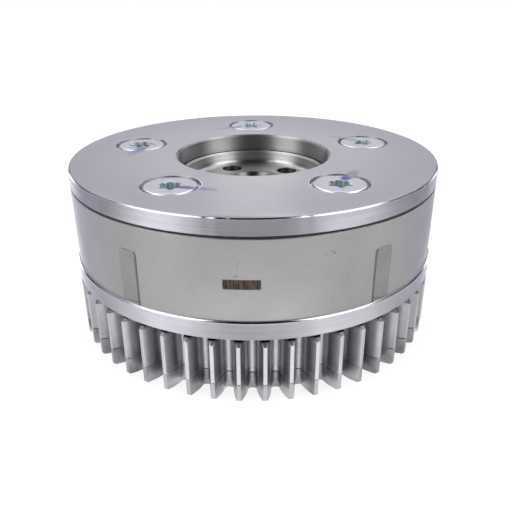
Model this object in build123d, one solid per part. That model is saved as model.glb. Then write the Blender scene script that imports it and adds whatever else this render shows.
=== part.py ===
from build123d import *
import os
from math import acos, asin, atan, cos, degrees, radians, sin, sqrt, tan

# Vane-type cam phaser with a scissor gear. Millimetres, +Z along the axis towards the front
# cover, origin on the axis at the rear face. Azimuths are degrees round +Z from the front
# side, -Y, towards +X.

# Main diameters and heights
CASE_RADIUS = 46.5
SCISSOR_GEAR_HEIGHT = 4.4
GEAR_SPLIT_GAP = 0.06
MAIN_TOOTH_HEIGHT = 10.54
TOOTH_RELIEF_HEIGHT = 1.08
COLLAR_HEIGHT = 4.29
HOUSING_HEIGHT = 18.43
COVER_THICKNESS = 4.4

# Teeth, the same on both gears
TOOTH_COUNT = 51
MODULE = 1.75
PRESSURE_ANGLE = 17.5
ADDENDUM = 2.355
DEDENDUM = 2.725
TOOTH_THICKNESS = 2.586
ROOT_FILLET = 0.85
ROOT_ROUND_SHARE = 0.82
FILLET_BEND = 0.3
TOOTH_AZIMUTH = 2.83
TOOTH_FRONT_CHAMFER = 0.8
TOOTH_REAR_CHAMFER = 0.35
COLLAR_CHAMFER = 0.35

# Front cover and its seal ring
COVER_BORE_RADIUS = 19.5
COVER_BORE_CHAMFER = 0.45
COVER_EDGE_CHAMFER = 0.35
SEAL_RING_WIDTH = 2.2
SEAL_RING_HEIGHT = 0.62
SEAL_RING_SETBACK = 0.25

# Cover screws, flush countersunk heads
SCREW_COUNT = 5
SCREW_AZIMUTH = 37.0
SCREW_CIRCLE_SHARE = 0.40625
SCREW_RADIUS = 3.0
SCREW_HEAD_RADIUS = 6.0
SCREW_RIM_HEIGHT = 0.9
SCREW_RIM_ROUND = 0.45
SCREW_SINK = 0.1
SCREW_DEPTH_IN_GEAR = 7.4
SCREW_HOLE_CLEARANCE = 0.2
SCREW_POCKET_RADIUS = 6.85
SCREW_TURNS = (0, 14, 33, 47, 8)
DRIVE_LOBES = 6
DRIVE_CORE_RADIUS = 2.0
DRIVE_LOBE_RADIUS = 0.75
DRIVE_DEPTH = 2.0

# Vane housing
HOUSING_WALL = 5.0
WEB_ANGLE = 26.4
CHAMBER_FILLET = 1.2
WEB_TIP_CHAMFER = 1.2
SIDE_POCKET_WIDTH = 4.1
SIDE_POCKET_DEPTH = 0.65
SIDE_POCKET_TURN = -0.3
SIDE_POCKET_HEIGHT = 12.63
SIDE_POCKET_CORNER = 1.0

# Rotor
HUB_RADIUS = 25.5
VANE_COUNT = 5
VANE_AZIMUTH = 63.0
LOCK_VANE_ANGLE = 25.0
VANE_ANGLE = 16.0
VANE_ROOT_FILLET = 0.8
VANE_TIP_CHAMFER = 1.6
FACE_GAP = 0.04
TIP_GAP = 0.1
JOURNAL_RADIUS = 20.0
JOURNAL_GAP = 0.05
REAR_SETBACK = 0.5
RECESS_RADIUS = 18.3
RECESS_FLOOR_RADIUS = 17.3
RECESS_DEPTH = 3.26
RECESS_FILLET = 1.4
RECESS_EDGE_CHAMFER = 0.4
BOSS_RADIUS = 7.6
BOSS_HEIGHT = 0.7
CENTRE_HOLE_RADIUS = 5.2
CENTRE_HOLE_CHAMFER = 1.1
BOLT_CIRCLE_RADIUS = 13.2
BOLT_HOLE_RADIUS = 2.75
PILOT_RADIUS = 17.0
PILOT_CHAMFER = 0.8
FLOOR_THICKNESS = 7.0
OIL_HOLE_RADIUS = 1.3
OIL_FRONT_DROP = 2.2
OIL_REAR_DROP = 5.8
OIL_HOLE_OFFSET = 1.1

# Sealing strips with leaf springs, in the vane tips and in the web tips
STRIP_WIDTH = 2.0
STRIP_HEIGHT = 2.3
STRIP_SLOT_DEPTH = 3.3
STRIP_SIDE_GAP = 0.05
STRIP_TIP_GAP = 0.04
WEB_STRIP_SLOT_DEPTH = 2.9
WEB_STRIP_HEIGHT = 2.0
WEB_STRIP_ANGLE = 8.0
LEAF_THICKNESS = 0.22
LEAF_WIDTH = 1.6
LEAF_LENGTH = 13.0
LEAF_SEAT_GAP = 0.02

# Lock pin in the wide vane, drawn back by oil pressure
PIN_SLOT_WALL = 1.6
PIN_BORE_RADIUS = 4.3
PIN_NOSE_RADIUS = 3.35
PIN_GAP = 0.05
PIN_NOSE_LENGTH = 6.2
PIN_HEAD_LENGTH = 6.0
PIN_NOSE_SETBACK = 0.3
PIN_SHOULDER_LIFT = 3.4
PIN_SPRING_POCKET_RADIUS = 2.9
PIN_SPRING_POCKET_DEPTH = 4.5
PIN_PLUG_THICKNESS = 1.8
PIN_VENT_RADIUS = 1.0
PIN_SPRING_WIRE_RADIUS = 0.35
PIN_SPRING_TURNS = 5
SEAT_WALL = 1.1
SEAT_CLEARANCE = 0.2
SEAT_DEPTH = 4.4
SEAT_CHAMFER = 0.4

# Scissor gear, its ring spring and its retaining ring
REGISTER_RADIUS = 26.0
REGISTER_GAP = 0.05
SCISSOR_WEB_THICKNESS = 1.7
SCISSOR_RECESS_WIDTH = 4.4
CLIP_THICKNESS = 1.5
CLIP_GROOVE_DEPTH = 1.3
CLIP_WIDTH = 3.6
CLIP_GAP_ANGLE = 22.0
CLIP_GAP_AZIMUTH = 0.0
CLIP_EAR_RADIUS = 2.1
CLIP_EAR_RISE = 1.0
CLIP_EYE_RADIUS = 1.0
SPRING_CIRCLE_OFFSET = 7.8
SPRING_WIDTH = 3.4
SPRING_HEIGHT = 3.4
SPRING_GROOVE_WIDTH = 6.6
SPRING_GROOVE_DEPTH = 4.7
SPRING_FLOOR_GAP = 0.5
STOP_PIN_RADIUS = 1.9
STOP_PIN_AZIMUTH = 0.0
STOP_PIN_GRIP = 4.8
STOP_SLOT_CLEARANCE = 0.3
SCISSOR_TRAVEL_ANGLE = 2.5
SPRING_PIN_AZIMUTH = -24.0
PIN_FLUSH_SETBACK = 1.0
PRESS_GAP = 0.01
TOOL_HOLE_RADIUS = 1.5
TOOL_HOLE_CIRCLE_RADIUS = 39.4
TOOL_HOLE_DEPTH = 7.0
TOOL_HOLE_AZIMUTHS = (90.0, 270.0)

# Dowels between the housing and the drive gear
DOWEL_RADIUS = 2.0
DOWEL_CIRCLE_SHARE = 0.76
DOWEL_LENGTH = 9.0
DOWEL_ANGLE = 7.5

# Levels up the axis
Z_SPLIT = SCISSOR_GEAR_HEIGHT + GEAR_SPLIT_GAP
Z_TOOTH_TOP = Z_SPLIT + MAIN_TOOTH_HEIGHT
Z_COLLAR = Z_TOOTH_TOP + TOOTH_RELIEF_HEIGHT
Z_CHAMBER = Z_COLLAR + COLLAR_HEIGHT
Z_COVER = Z_CHAMBER + HOUSING_HEIGHT
Z_TOP = Z_COVER + COVER_THICKNESS
Z_ROTOR_REAR = Z_CHAMBER + FACE_GAP
Z_ROTOR_FRONT = Z_COVER - FACE_GAP
Z_RECESS_FLOOR = Z_ROTOR_FRONT - RECESS_DEPTH
Z_PILOT_FLOOR = Z_RECESS_FLOOR - FLOOR_THICKNESS
Z_GROOVE_ROOF = Z_SPLIT + SPRING_GROOVE_DEPTH
Z_SCISSOR_WEB = SCISSOR_GEAR_HEIGHT - SCISSOR_WEB_THICKNESS
Z_CLIP = Z_SCISSOR_WEB - FACE_GAP - CLIP_THICKNESS

# Radii and angles that follow from the sizes above
PITCH_RADIUS = MODULE * TOOTH_COUNT / 2
TIP_RADIUS = PITCH_RADIUS + ADDENDUM
ROOT_RADIUS = PITCH_RADIUS - DEDENDUM
BASE_RADIUS = PITCH_RADIUS * cos(radians(PRESSURE_ANGLE))
CHAMBER_RADIUS = CASE_RADIUS - HOUSING_WALL
DOWEL_CIRCLE_RADIUS = HUB_RADIUS + DOWEL_CIRCLE_SHARE * (CHAMBER_RADIUS - HUB_RADIUS)
VANE_TIP_RADIUS = CHAMBER_RADIUS - TIP_GAP
SCREW_CIRCLE_RADIUS = HUB_RADIUS + SCREW_CIRCLE_SHARE * (CHAMBER_RADIUS - HUB_RADIUS)
WEB_TIP_RADIUS = HUB_RADIUS + TIP_GAP
PIN_CIRCLE_RADIUS = VANE_TIP_RADIUS - STRIP_SLOT_DEPTH - PIN_SLOT_WALL - PIN_BORE_RADIUS
SCISSOR_RECESS_RADIUS = REGISTER_RADIUS + SCISSOR_RECESS_WIDTH
SPRING_CIRCLE_RADIUS = REGISTER_RADIUS + SPRING_CIRCLE_OFFSET
GROOVE_INNER = SPRING_CIRCLE_RADIUS - SPRING_GROOVE_WIDTH / 2
GROOVE_OUTER = SPRING_CIRCLE_RADIUS + SPRING_GROOVE_WIDTH / 2
SCREW_PITCH = 360 / SCREW_COUNT
VANE_PITCH = 360 / VANE_COUNT
Z_SCREW_TOP = Z_TOP - SCREW_SINK
Z_SCREW_RIM = Z_SCREW_TOP - SCREW_RIM_HEIGHT
OVERRUN = 1.0


# Shared helpers

def polar(radius, azimuth, z=0.0):
    """Point at a radius and azimuth."""
    turn = radians(azimuth)
    return Vector(radius * sin(turn), -radius * cos(turn), z)


def facing(azimuth):
    """Turns a piece drawn along +X so that it points outward at the azimuth."""
    return Rot(0, 0, azimuth - 90)


def rod(radius, low, high):
    """Cylinder on the axis between two levels."""
    return Pos(0, 0, low) * Cylinder(radius, high - low, align=(Align.CENTER, Align.CENTER, Align.MIN))


def rod_at(radius, low, high, circle_radius, azimuth):
    """Cylinder parallel to the axis, on a circle."""
    return Pos(*polar(circle_radius, azimuth)) * rod(radius, low, high)


def tube(inner, outer, low, high):
    """Hollow cylinder on the axis between two levels."""
    return rod(outer, low, high) - rod(inner, low - OVERRUN, high + OVERRUN)


def turned(points):
    """Solid of revolution about the axis from (radius, height) points."""
    outline = Wire.make_polygon([(radius, 0, height) for radius, height in points], close=True)
    return revolve(Face(outline), axis=Axis.Z)


def sector(inner, outer, azimuth, width):
    """Flat ring sector centred on an azimuth."""
    first = azimuth - width / 2
    last = azimuth + width / 2
    edges = [
        Edge.make_line(polar(inner, first), polar(outer, first)),
        Edge.make_three_point_arc(polar(outer, first), polar(outer, azimuth), polar(outer, last)),
        Edge.make_line(polar(outer, last), polar(inner, last)),
        Edge.make_three_point_arc(polar(inner, last), polar(inner, azimuth), polar(inner, first)),
    ]
    return Face(Wire(edges))


def block(inner, outer, width, low, high):
    """Radial block along +X, between two radii and two levels."""
    centred = Box(outer - inner, width, high - low, align=(Align.MIN, Align.CENTER, Align.MIN))
    return Pos(inner, 0, low) * centred


def corner_rings(plan):
    """A plan's corners in groups by their distance from the axis, nearest first."""
    return plan.vertices().group_by(lambda corner: Vector(corner).length, tol_digits=2)


def screw_azimuths():
    return [SCREW_AZIMUTH + index * SCREW_PITCH for index in range(SCREW_COUNT)]


def dowel_azimuths():
    """Beside two of the screws, in the webs between the chambers."""
    return [azimuth - DOWEL_ANGLE for azimuth in screw_azimuths()[1::2]]


def vane_azimuths():
    return [VANE_AZIMUTH + index * VANE_PITCH for index in range(VANE_COUNT)]


# Gear teeth

def involute(angle):
    return tan(angle) - angle


def half_tooth(radius):
    """Half of a tooth's angle, in degrees, at a radius."""
    at_radius = acos(min(1.0, BASE_RADIUS / radius))
    at_pitch = radians(PRESSURE_ANGLE)
    half_at_pitch = TOOTH_THICKNESS / 2 / PITCH_RADIUS
    return degrees(half_at_pitch + involute(at_pitch) - involute(at_radius))


def tooth_edges(azimuth, pitch):
    """Outline of one tooth and the root after it: fillet, flank, tip, flank, fillet, root."""
    foot = max(BASE_RADIUS, ROOT_RADIUS + ROOT_FILLET)
    middle = (foot + TIP_RADIUS) / 2
    foot_half = half_tooth(foot)
    spread = (pitch / 2 - foot_half) * ROOT_ROUND_SHARE
    root_half = foot_half + spread
    bend_half = foot_half + spread * FILLET_BEND
    bend = ROOT_RADIUS + (foot - ROOT_RADIUS) * FILLET_BEND
    rise = [
        Edge.make_three_point_arc(
            polar(ROOT_RADIUS, azimuth - root_half),
            polar(bend, azimuth - bend_half),
            polar(foot, azimuth - foot_half),
        ),
        Edge.make_three_point_arc(
            polar(foot, azimuth - foot_half),
            polar(middle, azimuth - half_tooth(middle)),
            polar(TIP_RADIUS, azimuth - half_tooth(TIP_RADIUS)),
        ),
        Edge.make_line(
            polar(TIP_RADIUS, azimuth - half_tooth(TIP_RADIUS)),
            polar(TIP_RADIUS, azimuth + half_tooth(TIP_RADIUS)),
        ),
    ]
    fall = [
        Edge.make_three_point_arc(
            polar(TIP_RADIUS, azimuth + half_tooth(TIP_RADIUS)),
            polar(middle, azimuth + half_tooth(middle)),
            polar(foot, azimuth + foot_half),
        ),
        Edge.make_three_point_arc(
            polar(foot, azimuth + foot_half),
            polar(bend, azimuth + bend_half),
            polar(ROOT_RADIUS, azimuth + root_half),
        ),
        Edge.make_line(
            polar(ROOT_RADIUS, azimuth + root_half),
            polar(ROOT_RADIUS, azimuth + pitch - root_half),
        ),
    ]
    return rise + fall


def tooth_spaces(low, high):
    """Everything outside the teeth between two levels, to be cut from a gear blank."""
    pitch = 360 / TOOTH_COUNT
    edges = []
    for index in range(TOOTH_COUNT):
        edges += tooth_edges(TOOTH_AZIMUTH + index * pitch, pitch)
    rim = Wire(Edge.make_circle(TIP_RADIUS + OVERRUN))
    return Pos(0, 0, low) * extrude(Face(rim, [Wire(edges)]), amount=high - low)


# Cover, seal ring and screws

def front_cover():
    seal_inner = CASE_RADIUS - SEAL_RING_WIDTH
    cover = turned([
        (COVER_BORE_RADIUS, Z_COVER),
        (seal_inner, Z_COVER),
        (seal_inner, Z_COVER + SEAL_RING_HEIGHT),
        (CASE_RADIUS, Z_COVER + SEAL_RING_HEIGHT),
        (CASE_RADIUS, Z_TOP - COVER_EDGE_CHAMFER),
        (CASE_RADIUS - COVER_EDGE_CHAMFER, Z_TOP),
        (COVER_BORE_RADIUS + COVER_BORE_CHAMFER, Z_TOP),
        (COVER_BORE_RADIUS, Z_TOP - COVER_BORE_CHAMFER),
    ])
    for azimuth in screw_azimuths():
        cover -= Pos(*polar(SCREW_CIRCLE_RADIUS, azimuth)) * screw_seat()
    return cover


def screw_seat():
    """Flat-bottomed pocket, countersink and clearance hole for one screw."""
    hole_radius = SCREW_RADIUS + SCREW_HOLE_CLEARANCE
    cone_depth = SCREW_HEAD_RADIUS - hole_radius
    return turned([
        (0, Z_COVER - OVERRUN),
        (hole_radius, Z_COVER - OVERRUN),
        (hole_radius, Z_SCREW_RIM - cone_depth),
        (SCREW_HEAD_RADIUS, Z_SCREW_RIM),
        (SCREW_POCKET_RADIUS, Z_SCREW_RIM),
        (SCREW_POCKET_RADIUS, Z_TOP + OVERRUN),
        (0, Z_TOP + OVERRUN),
    ])


def cover_seal_ring():
    outer = CASE_RADIUS - SEAL_RING_SETBACK
    return tube(CASE_RADIUS - SEAL_RING_WIDTH, outer, Z_COVER, Z_COVER + SEAL_RING_HEIGHT)


def star_drive():
    """Six-lobed driver socket, sunk into a screw head."""
    socket = rod(DRIVE_CORE_RADIUS, Z_SCREW_TOP - DRIVE_DEPTH, Z_SCREW_TOP + OVERRUN)
    lobe = rod(DRIVE_LOBE_RADIUS, Z_SCREW_TOP - DRIVE_DEPTH, Z_SCREW_TOP + OVERRUN)
    for index in range(DRIVE_LOBES):
        socket += Pos(*polar(DRIVE_CORE_RADIUS, index * 360 / DRIVE_LOBES)) * lobe
    return socket


def cover_screw():
    shank_radius = SCREW_RADIUS - PIN_GAP
    cone_depth = SCREW_HEAD_RADIUS - shank_radius
    tip = Z_CHAMBER - SCREW_DEPTH_IN_GEAR
    body = turned([
        (0, tip),
        (shank_radius - SCREW_RIM_ROUND, tip),
        (shank_radius, tip + SCREW_RIM_ROUND),
        (shank_radius, Z_SCREW_RIM - cone_depth),
        (SCREW_HEAD_RADIUS, Z_SCREW_RIM),
        (SCREW_HEAD_RADIUS, Z_SCREW_TOP),
        (0, Z_SCREW_TOP),
    ])
    rim = body.edges().filter_by(GeomType.CIRCLE).sort_by(Axis.Z)[-1]
    return fillet(rim, SCREW_RIM_ROUND) - star_drive()


def cover_screws():
    screw = cover_screw()
    screws = []
    for index, azimuth in enumerate(screw_azimuths()):
        turn = SCREW_TURNS[index % len(SCREW_TURNS)]
        screws.append(Pos(*polar(SCREW_CIRCLE_RADIUS, azimuth)) * Rot(0, 0, turn) * screw)
    return screws


# Vane housing

def chamber_face():
    """Plan of the open space inside the housing, with its corners eased."""
    chamber_width = SCREW_PITCH - WEB_ANGLE
    plan = Face(Wire(Edge.make_circle(WEB_TIP_RADIUS)))
    for azimuth in screw_azimuths():
        middle = azimuth + SCREW_PITCH / 2
        plan = plan + sector(WEB_TIP_RADIUS - OVERRUN, CHAMBER_RADIUS, middle, chamber_width)
    plan = Sketch() + plan
    plan = fillet(corner_rings(plan)[-1], CHAMBER_FILLET)
    return chamfer(corner_rings(plan)[0], WEB_TIP_CHAMFER)


def side_pocket(deep_side):
    """Upright pocket in the housing's outside, open at the bottom: its floor falls away to one side."""
    slope = atan(SIDE_POCKET_DEPTH / SIDE_POCKET_WIDTH)
    pocket = block(
        0, SIDE_POCKET_DEPTH + OVERRUN, SIDE_POCKET_WIDTH / cos(slope) + OVERRUN,
        Z_CHAMBER - OVERRUN, Z_CHAMBER + SIDE_POCKET_HEIGHT,
    )
    corners = pocket.edges().filter_by(Axis.X).group_by(Axis.Z)[-1]
    pocket = Pos(0, -deep_side * OVERRUN / 2, 0) * fillet(corners, SIDE_POCKET_CORNER)
    floor_middle = sqrt(CASE_RADIUS ** 2 - (SIDE_POCKET_WIDTH / 2) ** 2) - SIDE_POCKET_DEPTH / 2
    return Pos(floor_middle, 0, 0) * Rot(0, 0, deep_side * degrees(slope)) * pocket


def vane_housing():
    housing = rod(CASE_RADIUS, Z_CHAMBER, Z_COVER)
    housing -= Pos(0, 0, Z_CHAMBER - OVERRUN) * extrude(chamber_face(), amount=HOUSING_HEIGHT + 2 * OVERRUN)
    hole = rod(SCREW_RADIUS + SCREW_HOLE_CLEARANCE, Z_CHAMBER - OVERRUN, Z_COVER + OVERRUN)
    slot = block(
        WEB_TIP_RADIUS - OVERRUN, WEB_TIP_RADIUS + WEB_STRIP_SLOT_DEPTH, STRIP_WIDTH,
        Z_CHAMBER - OVERRUN, Z_COVER + OVERRUN,
    )
    for azimuth in screw_azimuths():
        housing -= Pos(*polar(SCREW_CIRCLE_RADIUS, azimuth)) * hole
        housing -= facing(azimuth + WEB_STRIP_ANGLE) * slot
        nearer_front = -1 if azimuth % 360 < 180 else 1
        housing -= facing(azimuth + SIDE_POCKET_TURN) * side_pocket(nearer_front)
    for azimuth in dowel_azimuths():
        depth = DOWEL_LENGTH / 2 + PIN_GAP
        housing -= rod_at(
            DOWEL_RADIUS + PRESS_GAP, Z_CHAMBER - OVERRUN, Z_CHAMBER + depth, DOWEL_CIRCLE_RADIUS, azimuth
        )
    return housing


def locating_dowels():
    half = DOWEL_LENGTH / 2
    return [
        rod_at(DOWEL_RADIUS, Z_CHAMBER - half, Z_CHAMBER + half, DOWEL_CIRCLE_RADIUS, azimuth)
        for azimuth in dowel_azimuths()
    ]


# Rotor

def vane_angle(index):
    return LOCK_VANE_ANGLE if index == 0 else VANE_ANGLE


def vane_face():
    """Plan of the hub and its vanes, with root fillets and chamfered tips."""
    plan = Face(Wire(Edge.make_circle(HUB_RADIUS)))
    for index, azimuth in enumerate(vane_azimuths()):
        plan = plan + sector(HUB_RADIUS - OVERRUN, VANE_TIP_RADIUS, azimuth, vane_angle(index))
    plan = Sketch() + plan
    plan = fillet(corner_rings(plan)[0], VANE_ROOT_FILLET)
    return chamfer(corner_rings(plan)[-1], VANE_TIP_CHAMFER)


def front_recess():
    """Tapered recess in the front of the hub, round a low boss."""
    recess = turned([
        (0, Z_RECESS_FLOOR),
        (RECESS_FLOOR_RADIUS, Z_RECESS_FLOOR),
        (RECESS_RADIUS, Z_ROTOR_FRONT),
        (RECESS_RADIUS, Z_ROTOR_FRONT + OVERRUN),
        (0, Z_ROTOR_FRONT + OVERRUN),
    ])
    floor_edge = recess.edges().filter_by(GeomType.CIRCLE).sort_by(Axis.Z)[0]
    recess = fillet(floor_edge, RECESS_FILLET)
    mouth = turned([
        (0, Z_ROTOR_FRONT - RECESS_EDGE_CHAMFER),
        (RECESS_RADIUS, Z_ROTOR_FRONT - RECESS_EDGE_CHAMFER),
        (RECESS_RADIUS + RECESS_EDGE_CHAMFER, Z_ROTOR_FRONT),
        (RECESS_RADIUS + RECESS_EDGE_CHAMFER, Z_ROTOR_FRONT + OVERRUN),
        (0, Z_ROTOR_FRONT + OVERRUN),
    ])
    boss = turned([
        (0, Z_RECESS_FLOOR - OVERRUN),
        (BOSS_RADIUS + BOSS_HEIGHT, Z_RECESS_FLOOR - OVERRUN),
        (BOSS_RADIUS + BOSS_HEIGHT, Z_RECESS_FLOOR),
        (BOSS_RADIUS, Z_RECESS_FLOOR + BOSS_HEIGHT),
        (0, Z_RECESS_FLOOR + BOSS_HEIGHT),
    ])
    return recess + mouth - boss


def centre_hole():
    rim = Z_RECESS_FLOOR + BOSS_HEIGHT
    return turned([
        (0, Z_PILOT_FLOOR - OVERRUN),
        (CENTRE_HOLE_RADIUS, Z_PILOT_FLOOR - OVERRUN),
        (CENTRE_HOLE_RADIUS, rim - CENTRE_HOLE_CHAMFER),
        (CENTRE_HOLE_RADIUS + CENTRE_HOLE_CHAMFER, rim),
        (CENTRE_HOLE_RADIUS + CENTRE_HOLE_CHAMFER, rim + OVERRUN),
        (0, rim + OVERRUN),
    ])


def pilot_bore():
    """Rear bore that the camshaft nose fits."""
    return turned([
        (0, REAR_SETBACK - OVERRUN),
        (PILOT_RADIUS + PILOT_CHAMFER, REAR_SETBACK - OVERRUN),
        (PILOT_RADIUS + PILOT_CHAMFER, REAR_SETBACK),
        (PILOT_RADIUS, REAR_SETBACK + PILOT_CHAMFER),
        (PILOT_RADIUS, Z_PILOT_FLOOR),
        (0, Z_PILOT_FLOOR),
    ])


def oil_hole(azimuth, drop):
    """Radial passage from the pilot bore to a chamber, at a drop below the pilot's floor."""
    length = HUB_RADIUS - PILOT_RADIUS + 2 * OVERRUN
    drill = Cylinder(OIL_HOLE_RADIUS, length, align=(Align.CENTER, Align.CENTER, Align.MIN))
    return facing(azimuth) * Pos(PILOT_RADIUS - OVERRUN, 0, Z_PILOT_FLOOR - drop) * Rot(0, 90, 0) * drill


def lock_pin_bore():
    shoulder = Z_ROTOR_REAR + PIN_SHOULDER_LIFT
    head = rod_at(PIN_BORE_RADIUS, shoulder, Z_ROTOR_FRONT + OVERRUN, PIN_CIRCLE_RADIUS, VANE_AZIMUTH)
    nose = rod_at(
        PIN_NOSE_RADIUS + PIN_GAP, Z_ROTOR_REAR - OVERRUN, shoulder + OVERRUN,
        PIN_CIRCLE_RADIUS, VANE_AZIMUTH,
    )
    return head + nose


def rotor():
    body = Pos(0, 0, Z_ROTOR_REAR) * extrude(vane_face(), amount=Z_ROTOR_FRONT - Z_ROTOR_REAR)
    body += rod(JOURNAL_RADIUS, REAR_SETBACK, Z_ROTOR_REAR + OVERRUN)
    body -= front_recess()
    body -= pilot_bore()
    body -= centre_hole()
    slot = block(
        VANE_TIP_RADIUS - STRIP_SLOT_DEPTH, VANE_TIP_RADIUS + OVERRUN, STRIP_WIDTH,
        Z_ROTOR_REAR - OVERRUN, Z_ROTOR_FRONT + OVERRUN,
    )
    for index, azimuth in enumerate(vane_azimuths()):
        body -= rod_at(
            BOLT_HOLE_RADIUS, Z_PILOT_FLOOR - OVERRUN, Z_ROTOR_FRONT, BOLT_CIRCLE_RADIUS, azimuth
        )
        body -= facing(azimuth) * slot
        root = vane_angle(index) / 2 + degrees((OIL_HOLE_RADIUS + OIL_HOLE_OFFSET) / HUB_RADIUS)
        body -= oil_hole(azimuth - root, OIL_FRONT_DROP)
        body -= oil_hole(azimuth + root, OIL_REAR_DROP)
    return body - lock_pin_bore()


# Sealing strips and their leaf springs

def vane_strip(azimuth):
    outer = CHAMBER_RADIUS - STRIP_TIP_GAP
    strip = block(
        outer - STRIP_HEIGHT, outer + OVERRUN, STRIP_WIDTH - 2 * STRIP_SIDE_GAP, Z_ROTOR_REAR, Z_ROTOR_FRONT
    )
    return facing(azimuth) * (strip & rod(outer, Z_ROTOR_REAR, Z_ROTOR_FRONT))


def web_strip(azimuth):
    inner = HUB_RADIUS + STRIP_TIP_GAP
    strip = block(
        inner - OVERRUN, inner + WEB_STRIP_HEIGHT, STRIP_WIDTH - 2 * STRIP_SIDE_GAP,
        Z_ROTOR_REAR, Z_ROTOR_FRONT,
    )
    return facing(azimuth) * (strip - rod(inner, Z_CHAMBER - OVERRUN, Z_COVER + OVERRUN))


def leaf_spring(azimuth, slot_floor, strip_face):
    """Bowed strip: its middle rests on the slot's floor and its ends push the sealing strip."""
    outward = 1 if strip_face > slot_floor else -1
    middle = slot_floor + outward * LEAF_SEAT_GAP
    end = strip_face - outward * (LEAF_SEAT_GAP + LEAF_THICKNESS)
    thick = outward * LEAF_THICKNESS
    centre = (Z_ROTOR_REAR + Z_ROTOR_FRONT) / 2
    low = centre - LEAF_LENGTH / 2
    high = centre + LEAF_LENGTH / 2
    edges = [
        Edge.make_three_point_arc((end, 0, low), (middle, 0, centre), (end, 0, high)),
        Edge.make_line((end, 0, high), (end + thick, 0, high)),
        Edge.make_three_point_arc(
            (end + thick, 0, high), (middle + thick, 0, centre), (end + thick, 0, low)
        ),
        Edge.make_line((end + thick, 0, low), (end, 0, low)),
    ]
    leaf = extrude(Face(Wire(edges)), amount=LEAF_WIDTH / 2, both=True)
    return facing(azimuth) * leaf


def vane_leaf(azimuth):
    strip_face = CHAMBER_RADIUS - STRIP_TIP_GAP - STRIP_HEIGHT
    return leaf_spring(azimuth, VANE_TIP_RADIUS - STRIP_SLOT_DEPTH, strip_face)


def web_leaf(azimuth):
    strip_face = HUB_RADIUS + STRIP_TIP_GAP + WEB_STRIP_HEIGHT
    return leaf_spring(azimuth, WEB_TIP_RADIUS + WEB_STRIP_SLOT_DEPTH, strip_face)


# Lock pin set

def lock_pin():
    nose_tip = Z_ROTOR_REAR + PIN_NOSE_SETBACK
    shoulder = nose_tip + PIN_NOSE_LENGTH
    top = shoulder + PIN_HEAD_LENGTH
    pin = turned([
        (0, nose_tip),
        (PIN_NOSE_RADIUS - SEAT_CHAMFER, nose_tip),
        (PIN_NOSE_RADIUS, nose_tip + SEAT_CHAMFER),
        (PIN_NOSE_RADIUS, shoulder),
        (PIN_BORE_RADIUS - PIN_GAP, shoulder),
        (PIN_BORE_RADIUS - PIN_GAP, top),
        (PIN_SPRING_POCKET_RADIUS, top),
        (PIN_SPRING_POCKET_RADIUS, top - PIN_SPRING_POCKET_DEPTH),
        (0, top - PIN_SPRING_POCKET_DEPTH),
    ])
    return Pos(*polar(PIN_CIRCLE_RADIUS, VANE_AZIMUTH)) * pin


def lock_pin_spring():
    pocket_floor = (
        Z_ROTOR_REAR + PIN_NOSE_SETBACK + PIN_NOSE_LENGTH + PIN_HEAD_LENGTH - PIN_SPRING_POCKET_DEPTH
    )
    low = pocket_floor + PIN_SPRING_WIRE_RADIUS + PIN_GAP
    high = Z_ROTOR_FRONT - PIN_PLUG_THICKNESS - PIN_SPRING_WIRE_RADIUS - PIN_GAP
    radius = PIN_SPRING_POCKET_RADIUS - PIN_SPRING_WIRE_RADIUS - 2 * PIN_GAP
    path = Edge.make_helix((high - low) / PIN_SPRING_TURNS, high - low, radius)
    wire_end = Plane(origin=path @ 0, z_dir=path % 0)
    coil = sweep(wire_end * Circle(PIN_SPRING_WIRE_RADIUS), path=path)
    return Pos(*polar(PIN_CIRCLE_RADIUS, VANE_AZIMUTH, low)) * coil


def lock_pin_plug():
    low = Z_ROTOR_FRONT - PIN_PLUG_THICKNESS
    plug = tube(PIN_VENT_RADIUS, PIN_BORE_RADIUS - PRESS_GAP, low, Z_ROTOR_FRONT)
    return Pos(*polar(PIN_CIRCLE_RADIUS, VANE_AZIMUTH)) * plug


def seat_radii():
    inner = PIN_NOSE_RADIUS + SEAT_CLEARANCE
    return inner, inner + SEAT_WALL


def lock_pin_seat():
    inner, outer = seat_radii()
    low = Z_CHAMBER - SEAT_DEPTH
    bush = turned([
        (inner, low),
        (outer, low),
        (outer, Z_CHAMBER),
        (inner + SEAT_CHAMFER, Z_CHAMBER),
        (inner, Z_CHAMBER - SEAT_CHAMFER),
    ])
    return Pos(*polar(PIN_CIRCLE_RADIUS, VANE_AZIMUTH)) * bush


# Gears

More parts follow.
